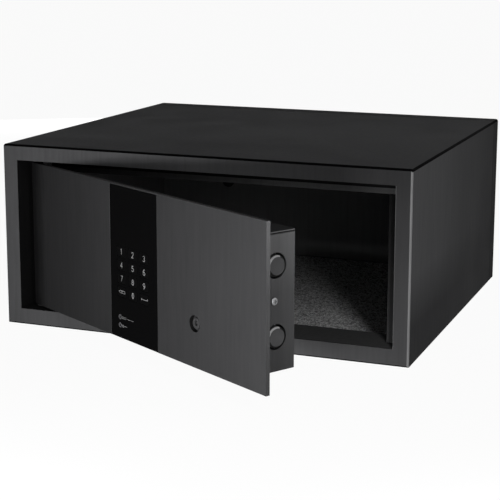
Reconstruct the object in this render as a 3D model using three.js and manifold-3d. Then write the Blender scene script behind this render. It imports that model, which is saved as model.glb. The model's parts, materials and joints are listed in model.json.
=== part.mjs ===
// Electronic room safe for a laptop: a folded steel case with a recessed door that swings on a concealed rod.
// The door carries a black keypad strip, an override key lock and, on its back, a lock housing with a motor,
// a rack and pinion, two bolts and four battery cells.
// Millimetres, +Z up. The origin is the centre of the case's underside and +Y points into the case.
// The model is written with the case's front face at y = 0, and its group moves it by half the case's depth.
// The door's pieces are written where they lie with the door closed, and their group turns about the rod.

import * as THREE from "three";
import { mergeVertices } from "three/addons/utils/BufferGeometryUtils.js";
import Module from "manifold-3d";

const wasm = await Module();
wasm.setup();

// Case, outside sizes and steel
const CASE_WIDTH = 420;
const CASE_DEPTH = 376;
const CASE_HEIGHT = 184;
const SHEET = 2;
const FOLD_RADIUS = 2.5;
const FOLD_INNER_RADIUS = 0.5;

// Front frame: the width of its face on each side, and how deep its folded jambs run
const FACE_SIDE = 15.5;
const FACE_TOP = 16;
const FACE_BOTTOM = 16.6;
const JAMB_DEPTH = 46;
const SILL_DEPTH = 41;

// Strips that the closed door comes to rest against
const STOP_THICKNESS = 2;
const STOP_CLEARANCE = 2.4;
const STOP_TOP_DROP = 11;
const STOP_SIDE_REACH = 10.8;
const STOP_START_FROM_HINGE = 15;

// Door plate, closed in the frame
const DOOR_THICKNESS = 4;
const DOOR_RECESS = 11.3;
const DOOR_GAP_FREE_EDGE = 2.7;
const DOOR_GAP_HINGE_SIDE = 13.3;
const DOOR_GAP_TOP = 3.2;
const DOOR_GAP_BOTTOM = 2.6;
const DOOR_OPEN_DEGREES = 30.3;

// Hinge: a fixed rod in two flanged bushes, and a leaf with rolled knuckles on the door
const ROD_RADIUS = 2.5;
const KNUCKLE_WALL = 1;
const KNUCKLE_COUNT = 3;
const KNUCKLE_LENGTH = 30;
const HINGE_INSET = 1.1;
const LEAF_WIDTH = 26;
const LEAF_THICKNESS = 2;
const BUSH_WALL = 1.2;
const BUSH_FLANGE = 2;
const BUSH_FLANGE_THICKNESS = 1;
const BUSH_BORE_CLEARANCE = 0.05;
const BUSH_PROUD = 1;
const ROD_PROUD = 1;
const LEAF_STRIP_GAP = 1;
const KNUCKLE_END_PLAY = 0.4;

// Clearances: running fits, and pieces seated on each other inside the turned door
const RUN_CLEARANCE = 0.3;
const SEAT_CLEARANCE = 0.2;

// Keypad strip, measured from the door's free edge
const FASCIA_FROM_FREE_EDGE = 154.1;
const FASCIA_WIDTH = 76.4;
const FASCIA_THICKNESS = 1.5;
const FASCIA_TOP_MARGIN = 1.3;

// Keys: three columns and four rows, each cap flush with the strip
const KEY_COLUMNS = 3;
const KEY_ROWS = 4;
const KEY_PITCH_X = 18.4;
const KEY_PITCH_Z = 12.7;
const KEY_WIDTH = 14.2;
const KEY_HEIGHT = 9.6;
const KEY_CORNER = 2;
const KEY_FLANGE = 0.9;
const KEY_FLANGE_THICKNESS = 0.8;
const KEY_TRAVEL = 0.8;
const KEY_MIDDLE_FROM_FREE_EDGE = 193.5;
const KEY_LOWEST_ROW_HEIGHT = 44.6;
const KEY_WINDOW_MARGIN = 0.4;
const KEY_NAMES = ["key_1", "key_2", "key_3", "key_4", "key_5", "key_6", "key_7", "key_8", "key_9",
  "key_clear", "key_0", "key_enter"];

// Mat, circuit board and display behind the keys
const MAT_THICKNESS = 1.7;
const BOARD_THICKNESS = 1.6;
const BOARD_WIDTH = 72;
const BOARD_BELOW_KEYS = 22;
const BOARD_ABOVE_DISPLAY = 1;
const BOARD_BOSS_RADIUS = 2.5;
const BOARD_BOSS_INSET = 3.5;
const DISPLAY_WIDTH = 49.4;
const DISPLAY_HEIGHT = 14.4;
const DISPLAY_ABOVE_KEYS = 4.2;
const BUZZER_RADIUS = 6;
const CHIP_SIZE = 10;
const CHIP_THICKNESS = 2;
const COMPONENT_HEIGHT = 5.6;
const SOCKET_WIDTH = 10;
const SOCKET_INSET = 3;

// Two light pins in the lower left of the strip
const LIGHT_RADIUS = 2.4;
const LIGHT_FROM_FREE_EDGE = 215.85;
const LIGHT_HEIGHTS = [20.1, 12.3];

// Override key lock
const LOCK_FROM_FREE_EDGE = 98;
const LOCK_HEIGHT = 39.5;
const LOCK_HOLE_RADIUS = 7.5;
const LOCK_BODY_RADIUS = 9.5;
const LOCK_BODY_LENGTH = 23;
const PLUG_RADIUS = 5;
const PLUG_RECESS = 1.4;
const KEYWAY_RADIUS = 2.1;
const KEYWAY_DEPTH = 3;
const KEYWAY_POST_RADIUS = 1.1;
const KEYWAY_SLOT = 1;
const CAM_THICKNESS = 2;
const CAM_LENGTH = 20;
const CAM_HUB_RADIUS = 6;

// Lock housing on the back of the door
const HOUSING_DEPTH = 35.5;
const HOUSING_WALL = 1.5;
const HOUSING_FROM_FREE_EDGE = 12;
const HOUSING_FROM_BOTTOM = 14.2;
const HOUSING_FROM_TOP = 12.8;
const HOUSING_PAST_KEYPAD = 23.3;
const SEAM_WIDTH = 1;
const SEAM_DEPTH = 0.8;
const POST_RADIUS = 3.5;
const POST_INSET = 8;
const SCREW_RADIUS = 1.5;
const SCREW_HEAD_RADIUS = 3.4;
const SCREW_HEAD_HEIGHT = 1.8;
const SCREW_LENGTH = 9;
const SCREW_DOME = [[0.8, 0.85], [0.4, 1]];

// Bolts, the bar that joins them and the bracket that guides them
const BOLT_RADIUS = 9;
const BOLT_HOLE_RADIUS = 11;
const BOLT_LENGTH = 44;
const BOLT_PROUD = 1.8;
const BOLT_CHAMFER = 1.1;
const BOLT_TRAVEL = 20;
const BOLT_BEHIND_PLATE = 15.9;
const BOLT_FROM_HOUSING_TOP = 28.6;
const BOLT_FROM_HOUSING_BOTTOM = 29.6;
const BAR_THICKNESS = 6;
const BAR_WIDTH = 16;
const BAR_CORNER = 2;
const BAR_OVERHANG = 10.8;
const GUIDE_THICKNESS = 2;
const GUIDE_FROM_HOUSING_SIDE = 14;
const GUIDE_MARGIN = 6;
const GUIDE_FOOT = 13;
const SIDE_SCREW_BEHIND_PLATE = 13.7;
const SIDE_SCREW_ABOVE_MIDDLE = 0.6;
const SIDE_SCREW_EAR = 3.8;

// Rack and pinion between the motor and the bar
const GEAR_MODULE = 1;
const PINION_TEETH = 14;
const PRESSURE_ANGLE = THREE.MathUtils.degToRad(20);
const TOOTH_ADDENDUM = 0.8;
const TOOTH_DEDENDUM = 1.1;
const TOOTH_BACKLASH = 0.3;
const GEAR_WIDTH = 6;
const RACK_ARM_DEPTH = 2.9;
const RACK_SPARE_TEETH = 2;
const PINION_FROM_BAR = 31.4;
const SHAFT_RADIUS = 1.5;
const SHAFT_BELOW_PINION = 1;
const SHAFT_IN_GEARBOX = 2;
const FLANK_SHARES = [0, 0.15, 0.45, 0.75, 1];

// Motor with its gearbox, upright above the pinion
const GEARBOX_SIDE = 16;
const GEARBOX_HEIGHT = 11.3;
const MOTOR_RADIUS = 7.7;
const MOTOR_LENGTH = 26;
const MOTOR_HEADROOM = 14.5;
const BRACKET_ABOVE_RACK = 1;
const BRACKET_THICKNESS = 1.5;
const BRACKET_HALF_WIDTH = 9;
const BRACKET_FOOT_HEIGHT = 36;
const LEAD_RADIUS = 1.4;
const LEAD_STEPS = 24;
const LEAD_SIDES = 8;
const LEAD_STRAIGHT = 3;
const LEAD_TURN = 9;
const LEAD_DROP = 12;

// Switch that feels the withdrawn bar
const SWITCH_LENGTH = 16;
const SWITCH_DEPTH = 10;
const SWITCH_HEIGHT = 6.5;
const SWITCH_ABOVE_RACK = 8;
const SWITCH_BUTTON_RADIUS = 1.2;
const SWITCH_BUTTON_REACH = 2.6;
const SWITCH_BUTTON_INSET = 1.5;

// Battery cells, their tray and the sliding cover over them
const CELL_RADIUS = 7.25;
const CELL_LENGTH = 50.5;
const CELL_NIPPLE_RADIUS = 2.75;
const CELL_NIPPLE_LENGTH = 1.5;
const CELL_COUNT = 4;
const CELL_GAP = 1.1;
const CELL_UNDER_HATCH = 1;
const TRAY_WALL = 1.5;
const TRAY_END_ROOM = 5;
const TRAY_FROM_HOUSING_END = 10;
const COVER_THICKNESS = 1.5;
const COVER_OVERLAP = 3;
const COVER_TRAVEL = 62;
const RAIL_THICKNESS = 1.2;
const RAIL_LIP = 2;
const GRIP_COUNT = 4;
const GRIP_FROM_EDGE = 6;
const GRIP_PITCH = 4;
const GRIP_HEIGHT = 1;
const GRIP_WIDTH = 1.6;

// Mat on the case floor, and rubber plugs in the fixing holes of the base and back
const MAT_FLOOR_THICKNESS = 4.5;
const MAT_FLOOR_MARGIN = 1.5;
const MAT_FLOOR_CORNER = 4;
const ANCHOR_RADIUS = 5.3;
const ANCHOR_SPACING = 240;
const PLUG_STEM_RADIUS = 5;
const PLUG_HEAD_RADIUS = 8;
const PLUG_HEAD_THICKNESS = 1.5;
const PLUG_STEM_RECESS = 0.3;

// Roundness of drawn circles
const FINE_SEGMENTS = 40;
const PLAIN_SEGMENTS = 16;
const SMALL_SEGMENTS = 12;
const ARC_STEPS = 2;

// How far a cutting shape runs past what it cuts, and how deep a joined shape is sunk into its neighbour
const PAST = 1;
const SUNK = 0.5;

// Places worked out from the sizes above
const halfWidth = CASE_WIDTH / 2;
const openingLeft = -halfWidth + FACE_SIDE;
const openingRight = halfWidth - FACE_SIDE;
const openingBottom = FACE_BOTTOM;
const openingTop = CASE_HEIGHT - FACE_TOP;
const doorLeft = openingLeft + DOOR_GAP_HINGE_SIDE;
const doorRight = openingRight - DOOR_GAP_FREE_EDGE;
const doorBottom = openingBottom + DOOR_GAP_BOTTOM;
const doorTop = openingTop - DOOR_GAP_TOP;
const doorFace = DOOR_RECESS;
const doorBack = doorFace + DOOR_THICKNESS;
const behindDoor = doorBack + SEAT_CLEARANCE;
const knuckleRadius = ROD_RADIUS + RUN_CLEARANCE + KNUCKLE_WALL;
const hingeX = doorLeft + HINGE_INSET;
const hingeY = behindDoor + knuckleRadius;
const stopFace = doorBack + STOP_CLEARANCE;

const housingRight = doorRight - HOUSING_FROM_FREE_EDGE;
const housingBottom = doorBottom + HOUSING_FROM_BOTTOM;
const housingTop = doorTop - HOUSING_FROM_TOP;
const housingBack = behindDoor + HOUSING_DEPTH;
const housingInnerBack = housingBack - HOUSING_WALL;
const fasciaRight = doorRight - FASCIA_FROM_FREE_EDGE;
const fasciaLeft = fasciaRight - FASCIA_WIDTH;
const housingLeft = fasciaLeft - HOUSING_PAST_KEYPAD;

const keyMiddle = doorRight - KEY_MIDDLE_FROM_FREE_EDGE;
const keyLowest = doorBottom + KEY_LOWEST_ROW_HEIGHT;
const keyHighest = keyLowest + (KEY_ROWS - 1) * KEY_PITCH_Z;
const keyFlangeFront = doorFace + FASCIA_THICKNESS + RUN_CLEARANCE;
const keyFlangeBack = keyFlangeFront + KEY_FLANGE_THICKNESS;
const matFront = keyFlangeBack + KEY_TRAVEL + SEAT_CLEARANCE;
const matBack = matFront + MAT_THICKNESS;
const boardFront = matBack + SEAT_CLEARANCE;
const boardBack = boardFront + BOARD_THICKNESS;
const windowHalfWidth = ((KEY_COLUMNS - 1) * KEY_PITCH_X + KEY_WIDTH) / 2 + KEY_FLANGE + KEY_WINDOW_MARGIN;
const windowBottom = keyLowest - KEY_HEIGHT / 2 - KEY_FLANGE - KEY_WINDOW_MARGIN;
const windowTop = keyHighest + KEY_HEIGHT / 2 + KEY_FLANGE + KEY_WINDOW_MARGIN;
const displayBottom = windowTop + DISPLAY_ABOVE_KEYS;
const displayTop = displayBottom + DISPLAY_HEIGHT;
const boardMiddle = (fasciaLeft + fasciaRight) / 2;
const boardLeft = boardMiddle - BOARD_WIDTH / 2;
const boardRight = boardMiddle + BOARD_WIDTH / 2;
const boardBottom = keyLowest - KEY_HEIGHT / 2 - BOARD_BELOW_KEYS;
const boardTop = displayTop + BOARD_ABOVE_DISPLAY;

const lockX = doorRight - LOCK_FROM_FREE_EDGE;
const lockZ = doorBottom + LOCK_HEIGHT;
const boltY = doorBack + BOLT_BEHIND_PLATE;
const boltZs = [housingTop - BOLT_FROM_HOUSING_TOP, housingBottom + BOLT_FROM_HOUSING_BOTTOM];
const sideScrewY = doorBack + SIDE_SCREW_BEHIND_PLATE;
const sideScrewZ = (boltZs[0] + boltZs[1]) / 2 + SIDE_SCREW_ABOVE_MIDDLE;
const boltTip = housingRight + BOLT_PROUD;
const boltStart = boltTip - BOLT_LENGTH;
const barRight = boltStart - SEAT_CLEARANCE;
const barLeft = barRight - BAR_THICKNESS;
const barFront = boltY - BAR_WIDTH / 2;
const barBack = boltY + BAR_WIDTH / 2;
const pinionRadius = (GEAR_MODULE * PINION_TEETH) / 2;
const pinionX = barLeft - PINION_FROM_BAR;
const pitchLine = barFront + RACK_ARM_DEPTH + TOOTH_DEDENDUM;
const pinionY = pitchLine + pinionRadius;
const motorTop = housingTop - HOUSING_WALL - MOTOR_HEADROOM;
const gearboxTop = motorTop - MOTOR_LENGTH;
const gearboxBottom = gearboxTop - GEARBOX_HEIGHT;
const bracketTop = gearboxBottom - SEAT_CLEARANCE;
const bracketBottom = bracketTop - BRACKET_THICKNESS;
const rackTop = bracketBottom - BRACKET_ABOVE_RACK;
const rackBottom = rackTop - GEAR_WIDTH;
const socketMiddle = boardRight - SOCKET_INSET - SOCKET_WIDTH / 2;

const trayLeft = housingLeft + TRAY_FROM_HOUSING_END;
const cellLeft = trayLeft + TRAY_WALL + TRAY_END_ROOM;
const trayRight = cellLeft + CELL_LENGTH + TRAY_END_ROOM + TRAY_WALL;
const trayBack = housingInnerBack - SEAT_CLEARANCE;
const cellY = trayBack - CELL_UNDER_HATCH - CELL_RADIUS;
const trayFloor = cellY - CELL_RADIUS - RUN_CLEARANCE;
const trayFront = trayFloor - TRAY_WALL;
const cellPitch = 2 * CELL_RADIUS + CELL_GAP;
const cellStackHeight = CELL_COUNT * cellPitch;
const trayMiddle = (housingBottom + housingTop) / 2;
const trayBottom = trayMiddle - cellStackHeight / 2 - TRAY_WALL;
const trayTop = trayMiddle + cellStackHeight / 2 + TRAY_WALL;
const hatchLeft = trayLeft + COVER_OVERLAP;
const hatchRight = trayRight - COVER_OVERLAP;
const hatchBottom = trayBottom + COVER_OVERLAP;
const hatchTop = trayTop - COVER_OVERLAP;
const coverFront = housingBack + SEAT_CLEARANCE;
const coverBack = coverFront + COVER_THICKNESS;
const anchorZ = CASE_HEIGHT / 2;
const anchorY = CASE_DEPTH / 2;

// Solids and shapes

// A closed solid from a three.js geometry, its faces turned to point outwards.
function solidOf(geometry) {
  const bare = geometry.clone();
  bare.deleteAttribute("normal");
  bare.deleteAttribute("uv");
  const merged = mergeVertices(bare, 1e-4);
  const vertProperties = new Float32Array(merged.attributes.position.array);
  const triVerts = new Uint32Array(merged.index.array);
  const made = new wasm.Manifold(new wasm.Mesh({ numProp: 3, vertProperties, triVerts }));
  if (made.volume() >= 0) return made;
  for (let i = 0; i < triVerts.length; i += 3) {
    [triVerts[i + 1], triVerts[i + 2]] = [triVerts[i + 2], triVerts[i + 1]];
  }
  return new wasm.Manifold(new wasm.Mesh({ numProp: 3, vertProperties, triVerts }));
}

// A three.js geometry with flat shading from a closed solid.
function geometryOf(solid) {
  const mesh = solid.getMesh();
  const indexed = new THREE.BufferGeometry();
  indexed.setAttribute("position", new THREE.BufferAttribute(mesh.vertProperties, 3));
  indexed.setIndex(new THREE.BufferAttribute(mesh.triVerts, 1));
  const flat = indexed.toNonIndexed();
  flat.computeVertexNormals();
  return flat;
}

// Joins solids into one.
function join(first, ...others) {
  return others.reduce((whole, piece) => whole.add(piece), first);
}

// Cuts tools out of a solid.
function cut(solid, ...tools) {
  return tools.reduce((rest, tool) => rest.subtract(tool), solid);
}

// Turns a geometry built along local Z so that it runs along a named axis, from one level to another.
const AXIS_TURNS = {
  x: new THREE.Matrix4().makeBasis(
    new THREE.Vector3(0, 1, 0), new THREE.Vector3(0, 0, 1), new THREE.Vector3(1, 0, 0)),
  y: new THREE.Matrix4().makeBasis(
    new THREE.Vector3(1, 0, 0), new THREE.Vector3(0, 0, 1), new THREE.Vector3(0, -1, 0)),
  z: new THREE.Matrix4(),
};

// Sweeps an outline straight along an axis. It is drawn in (y, z) for x, in (x, z) for y and in (x, y) for z.
function sweep(axis, outline, from, to) {
  const options = { depth: to - from, bevelEnabled: false, curveSegments: ARC_STEPS };
  const geometry = new THREE.ExtrudeGeometry(outline, options);
  geometry.applyMatrix4(AXIS_TURNS[axis]);
  const start = axis === "y" ? to : from;
  geometry.translate(axis === "x" ? start : 0, axis === "y" ? start : 0, axis === "z" ? start : 0);
  return solidOf(geometry);
}

// A plain block between two corners.
function block(x0, x1, y0, y1, z0, z1) {
  const geometry = new THREE.BoxGeometry(x1 - x0, y1 - y0, z1 - z0);
  geometry.translate((x0 + x1) / 2, (y0 + y1) / 2, (z0 + z1) / 2);
  return solidOf(geometry);
}

// A rectangle with four round corners.
function roundedRectangle(a0, a1, b0, b1, radius) {
  const shape = new THREE.Shape();
  shape.moveTo(a0 + radius, b0);
  shape.lineTo(a1 - radius, b0);
  shape.absarc(a1 - radius, b0 + radius, radius, -Math.PI / 2, 0);
  shape.lineTo(a1, b1 - radius);
  shape.absarc(a1 - radius, b1 - radius, radius, 0, Math.PI / 2);
  shape.lineTo(a0 + radius, b1);
  shape.absarc(a0 + radius, b1 - radius, radius, Math.PI / 2, Math.PI);
  shape.lineTo(a0, b0 + radius);
  shape.absarc(a0 + radius, b0 + radius, radius, Math.PI, 1.5 * Math.PI);
  shape.closePath();
  return shape;
}

// A rectangle whose upper two corners are round, as the folded case is from the front.
function foldedOutline(halfSpan, low, high, radius) {
  const shape = new THREE.Shape();
  shape.moveTo(-halfSpan, low);
  shape.lineTo(halfSpan, low);
  shape.lineTo(halfSpan, high - radius);
  shape.absarc(halfSpan - radius, high - radius, radius, 0, Math.PI / 2);
  shape.lineTo(-halfSpan + radius, high);
  shape.absarc(-halfSpan + radius, high - radius, radius, Math.PI / 2, Math.PI);
  shape.closePath();
  return shape;
}

// A regular polygon that stands for a circle.
function circle(a, b, radius, segments = PLAIN_SEGMENTS) {
  const points = [];
  for (let i = 0; i < segments; i += 1) {
    const angle = (2 * Math.PI * i) / segments;
    points.push(new THREE.Vector2(a + radius * Math.cos(angle), b + radius * Math.sin(angle)));
  }
  return new THREE.Shape(points);
}

// A round bar along an axis. (a, b) is its centre in the two other coordinates.
function roundBar(axis, a, b, radius, from, to, segments = PLAIN_SEGMENTS) {
  return sweep(axis, circle(a, b, radius, segments), from, to);
}

// A turned piece along an axis: a list of [radius, level] pairs that starts and ends on the axis.
function turned(axis, a, b, profile, segments = PLAIN_SEGMENTS) {
  const points = profile.map(([radius, level]) => new THREE.Vector2(radius, level));
  const geometry = new THREE.LatheGeometry(points, segments);
  geometry.rotateX(Math.PI / 2);
  if (axis === "x") {
    geometry.applyMatrix4(AXIS_TURNS.x);
    geometry.translate(0, a, b);
  } else if (axis === "y") {
    geometry.applyMatrix4(AXIS_TURNS.y);
    geometry.scale(1, -1, 1);
    geometry.translate(a, 0, b);
  } else {
    geometry.translate(a, b, 0);
  }
  return solidOf(geometry);
}

// Materials, one for each finish

function finish(color, roughness, metalness) {
  return new THREE.MeshStandardMaterial({ color, roughness, metalness });
}
const casePaint = finish(0x2b2b2d, 0.6, 0.15);
const doorPaint = finish(0x303033, 0.55, 0.15);
const fasciaGloss = finish(0x0a0a0b, 0.18, 0);
const keyGloss = finish(0x0d0d0e, 0.25, 0);
const lightPin = finish(0x8c9196, 0.35, 0);
const brightSteel = finish(0xb8bbbf, 0.28, 1);
const darkSteel = finish(0x55575b, 0.35, 0.9);
const zincSteel = finish(0x9a9da2, 0.45, 0.9);
const carpetFibre = finish(0x3a3a3c, 0.95, 0);
const blackRubber = finish(0x1a1a1a, 0.85, 0);
const blackPlastic = finish(0x1c1c1d, 0.6, 0);
const boardGreen = finish(0x1f5a35, 0.5, 0);
const displaySmoke = finish(0x1a0a0a, 0.3, 0);
const cellWrap = finish(0x2c4a6e, 0.4, 0.2);
const gearNylon = finish(0xd8d4c8, 0.5, 0);
const leadRed = finish(0x8c1f1f, 0.6, 0);

const model = new THREE.Group();
const doorSwing = new THREE.Group();
const door = new THREE.Group();
doorSwing.position.set(hingeX, hingeY, 0);
doorSwing.rotation.z = -THREE.MathUtils.degToRad(DOOR_OPEN_DEGREES);
door.position.set(-hingeX, -hingeY, 0);
doorSwing.add(door);
model.add(doorSwing);

function place(group, name, solid, material) {
  const mesh = new THREE.Mesh(geometryOf(solid), material);
  mesh.name = name;
  group.add(mesh);
}

// Case

// One sheet folded over the top and both sides.
function casingWrap() {
  const outer = foldedOutline(halfWidth, 0, CASE_HEIGHT, FOLD_RADIUS);
  const inner = foldedOutline(halfWidth - SHEET, -PAST, CASE_HEIGHT - SHEET, FOLD_INNER_RADIUS);
  return cut(sweep("y", outer, SHEET, CASE_DEPTH), sweep("y", inner, 0, CASE_DEPTH + PAST));
}

function anchorHoles(axis, across, from, to) {
  return [-1, 1].map((side) => roundBar(axis, (side * ANCHOR_SPACING) / 2, across, ANCHOR_RADIUS, from, to));
}

function basePlate() {
  const plate = block(-halfWidth + SHEET, halfWidth - SHEET, SHEET, CASE_DEPTH - SHEET, 0, SHEET);
  return cut(plate, ...anchorHoles("z", anchorY, -PAST, SHEET + PAST));
}

function backPanel() {
  const outline = foldedOutline(halfWidth - SHEET, 0, CASE_HEIGHT - SHEET, FOLD_RADIUS);
  const panel = sweep("y", outline, CASE_DEPTH - SHEET, CASE_DEPTH);
  return cut(panel, ...anchorHoles("y", anchorZ, CASE_DEPTH - SHEET - PAST, CASE_DEPTH + PAST));
}

// The face ring, its four folded jambs and the lip that carries the sill.
function frontFrame() {
  const ring = sweep("y", foldedOutline(halfWidth, 0, CASE_HEIGHT, FOLD_RADIUS), 0, SHEET);
  const jambBox = block(openingLeft - SHEET, openingRight + SHEET, SHEET, JAMB_DEPTH,
    openingBottom - SHEET, openingTop + SHEET);
  const opening = block(openingLeft, openingRight, -PAST, JAMB_DEPTH + PAST, openingBottom, openingTop);
  const behindSill = block(openingLeft - SHEET - PAST, openingRight + SHEET + PAST,
    SILL_DEPTH, JAMB_DEPTH + PAST, 0, openingBottom);
  const lip = block(openingLeft, openingRight, SILL_DEPTH - SHEET, SILL_DEPTH, SHEET, openingBottom);
  const strikes = boltZs.map((z) => roundBar("x", boltY, z, BOLT_HOLE_RADIUS,
    openingRight - PAST, openingRight + SHEET + PAST, FINE_SEGMENTS));
  const bushHole = ROD_RADIUS + RUN_CLEARANCE + BUSH_WALL;
  const bushHoles = [
    roundBar("z", hingeX, hingeY, bushHole, openingBottom - SHEET - PAST, openingBottom + PAST),
    roundBar("z", hingeX, hingeY, bushHole, openingTop - PAST, openingTop + SHEET + PAST),
  ];
  const folded = cut(join(ring, jambBox), opening, behindSill);
  return cut(join(folded, lip), ...strikes, ...bushHoles);
}

// A flanged bush in the sill or under the top jamb. Its flange faces the door.
function hingeBush(face, direction) {
  const bore = ROD_RADIUS + BUSH_BORE_CLEARANCE;
  const barrel = ROD_RADIUS + BUSH_WALL;
  const flangeEnd = face + direction * BUSH_FLANGE_THICKNESS;
  const barrelEnd = face - direction * (SHEET + BUSH_PROUD);
  return turned("z", hingeX, hingeY, [
    [bore, barrelEnd],
    [barrel, barrelEnd],
    [barrel, face],
    [barrel + BUSH_FLANGE, face],
    [barrel + BUSH_FLANGE, flangeEnd],
    [bore, flangeEnd],
    [bore, barrelEnd],
  ]);
}

function anchorPlug(axis, side, across, inner, direction) {
  const stemEnd = inner - direction * (SHEET - PLUG_STEM_RECESS);
  return turned(axis, (side * ANCHOR_SPACING) / 2, across, [
    [0, stemEnd],
    [PLUG_STEM_RADIUS, stemEnd],
    [PLUG_STEM_RADIUS, inner],
    [PLUG_HEAD_RADIUS, inner],
    [PLUG_HEAD_RADIUS, inner + direction * PLUG_HEAD_THICKNESS],
    [0, inner + direction * PLUG_HEAD_THICKNESS],
  ]);
}

function floorMat() {
  const outline = roundedRectangle(
    -halfWidth + SHEET + MAT_FLOOR_MARGIN,
    halfWidth - SHEET - MAT_FLOOR_MARGIN,
    SILL_DEPTH + MAT_FLOOR_MARGIN,
    CASE_DEPTH - SHEET - MAT_FLOOR_MARGIN - PLUG_HEAD_THICKNESS,
    MAT_FLOOR_CORNER);
  const jambNotch = (side) => block(
    side < 0 ? -halfWidth : openingRight - MAT_FLOOR_MARGIN,
    side < 0 ? openingLeft + MAT_FLOOR_MARGIN : halfWidth,
    0, JAMB_DEPTH + MAT_FLOOR_MARGIN, SHEET - PAST, SHEET + MAT_FLOOR_THICKNESS + PAST);
  const pockets = [-1, 1].map((side) => roundBar("z", (side * ANCHOR_SPACING) / 2, anchorY,
    PLUG_HEAD_RADIUS + RUN_CLEARANCE, SHEET - PAST, SHEET + PLUG_HEAD_THICKNESS + RUN_CLEARANCE));
  const mat = sweep("z", outline, SHEET, SHEET + MAT_FLOOR_THICKNESS);
  return cut(mat, jambNotch(-1), jambNotch(1), ...pockets);
}

place(model, "casing_wrap", casingWrap(), casePaint);
place(model, "base_plate", basePlate(), casePaint);
place(model, "back_panel", backPanel(), casePaint);
place(model, "front_frame", frontFrame(), casePaint);
place(model, "stop_strip_top", block(hingeX + STOP_START_FROM_HINGE, openingRight,
  stopFace, stopFace + STOP_THICKNESS, openingTop - STOP_TOP_DROP, openingTop), casePaint);
place(model, "stop_strip_side", block(openingRight - STOP_SIDE_REACH, openingRight,
  stopFace, stopFace + STOP_THICKNESS, openingBottom, openingTop - STOP_TOP_DROP), casePaint);
place(model, "hinge_bush_lower", hingeBush(openingBottom, 1), blackPlastic);
place(model, "hinge_bush_upper", hingeBush(openingTop, -1), blackPlastic);
place(model, "hinge_rod", roundBar("z", hingeX, hingeY, ROD_RADIUS,
  openingBottom - SHEET - ROD_PROUD, openingTop + SHEET + ROD_PROUD), brightSteel);
place(model, "base_plug_left", anchorPlug("z", -1, anchorY, SHEET, 1), blackRubber);
place(model, "base_plug_right", anchorPlug("z", 1, anchorY, SHEET, 1), blackRubber);
place(model, "back_plug_left", anchorPlug("y", -1, anchorZ, CASE_DEPTH - SHEET, -1), blackRubber);
place(model, "back_plug_right", anchorPlug("y", 1, anchorZ, CASE_DEPTH - SHEET, -1), blackRubber);
place(model, "floor_mat", floorMat(), carpetFibre);

// Door plate, hinge leaf and keypad

function keyCentre(index) {
  const column = index % KEY_COLUMNS;
  const row = Math.floor(index / KEY_COLUMNS);
  return [
    keyMiddle + (column - (KEY_COLUMNS - 1) / 2) * KEY_PITCH_X,
    keyLowest + (KEY_ROWS - 1 - row) * KEY_PITCH_Z,
  ];
}

function keyOutline(index, grow) {
  const [x, z] = keyCentre(index);
  return roundedRectangle(x - KEY_WIDTH / 2 - grow, x + KEY_WIDTH / 2 + grow,
    z - KEY_HEIGHT / 2 - grow, z + KEY_HEIGHT / 2 + grow, KEY_CORNER);
}

// The four posts that the housing's screws enter.
function postPlaces() {
  const places = [];
  for (const x of [housingLeft + POST_INSET, housingRight - POST_INSET]) {
    for (const z of [housingBottom + POST_INSET, housingTop - POST_INSET]) places.push([x, z]);
  }
  return places;
}

function boardBosses() {
  const bosses = [];
  for (const x of [boardLeft + BOARD_BOSS_INSET, boardRight - BOARD_BOSS_INSET]) {
    for (const z of [boardBottom + BOARD_BOSS_INSET, boardTop - BOARD_BOSS_INSET]) {
      bosses.push(roundBar("y", x, z, BOARD_BOSS_RADIUS, doorBack - SUNK, boardFront - SEAT_CLEARANCE));
    }
  }
  return bosses;
}

function doorPlate() {
  const plate = block(doorLeft, doorRight, doorFace, doorBack, doorBottom, doorTop);
  const pocket = block(fasciaLeft, fasciaRight, doorFace - PAST,
    doorFace + FASCIA_THICKNESS + SEAT_CLEARANCE, doorBottom - PAST, doorTop - FASCIA_TOP_MARGIN);
  const keyWindow = block(keyMiddle - windowHalfWidth, keyMiddle + windowHalfWidth,
    doorFace, doorBack + PAST, windowBottom, windowTop);
  const displayWindow = block(boardMiddle - DISPLAY_WIDTH / 2 - RUN_CLEARANCE,
    boardMiddle + DISPLAY_WIDTH / 2 + RUN_CLEARANCE, doorFace, doorBack + PAST,
    displayBottom - RUN_CLEARANCE, displayTop + RUN_CLEARANCE);
  const lockHole = roundBar("y", lockX, lockZ, LOCK_HOLE_RADIUS, doorFace - PAST, doorBack + PAST,
    FINE_SEGMENTS);
  const lightHoles = LIGHT_HEIGHTS.map((height) => roundBar("y", doorRight - LIGHT_FROM_FREE_EDGE,
    doorBottom + height, LIGHT_RADIUS + RUN_CLEARANCE, doorFace, doorBack + PAST));
  const postTop = housingInnerBack - SEAT_CLEARANCE;
  const posts = postPlaces().map(([x, z]) => roundBar("y", x, z, POST_RADIUS, doorBack - SUNK, postTop));
  const threads = postPlaces().map(([x, z]) => roundBar("y", x, z, SCREW_RADIUS + RUN_CLEARANCE,
    postTop - SCREW_LENGTH, postTop + PAST));
  const machined = cut(plate, pocket, keyWindow, displayWindow, lockHole, ...lightHoles);
  return cut(join(machined, ...boardBosses(), ...posts), ...threads);
}

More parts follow.
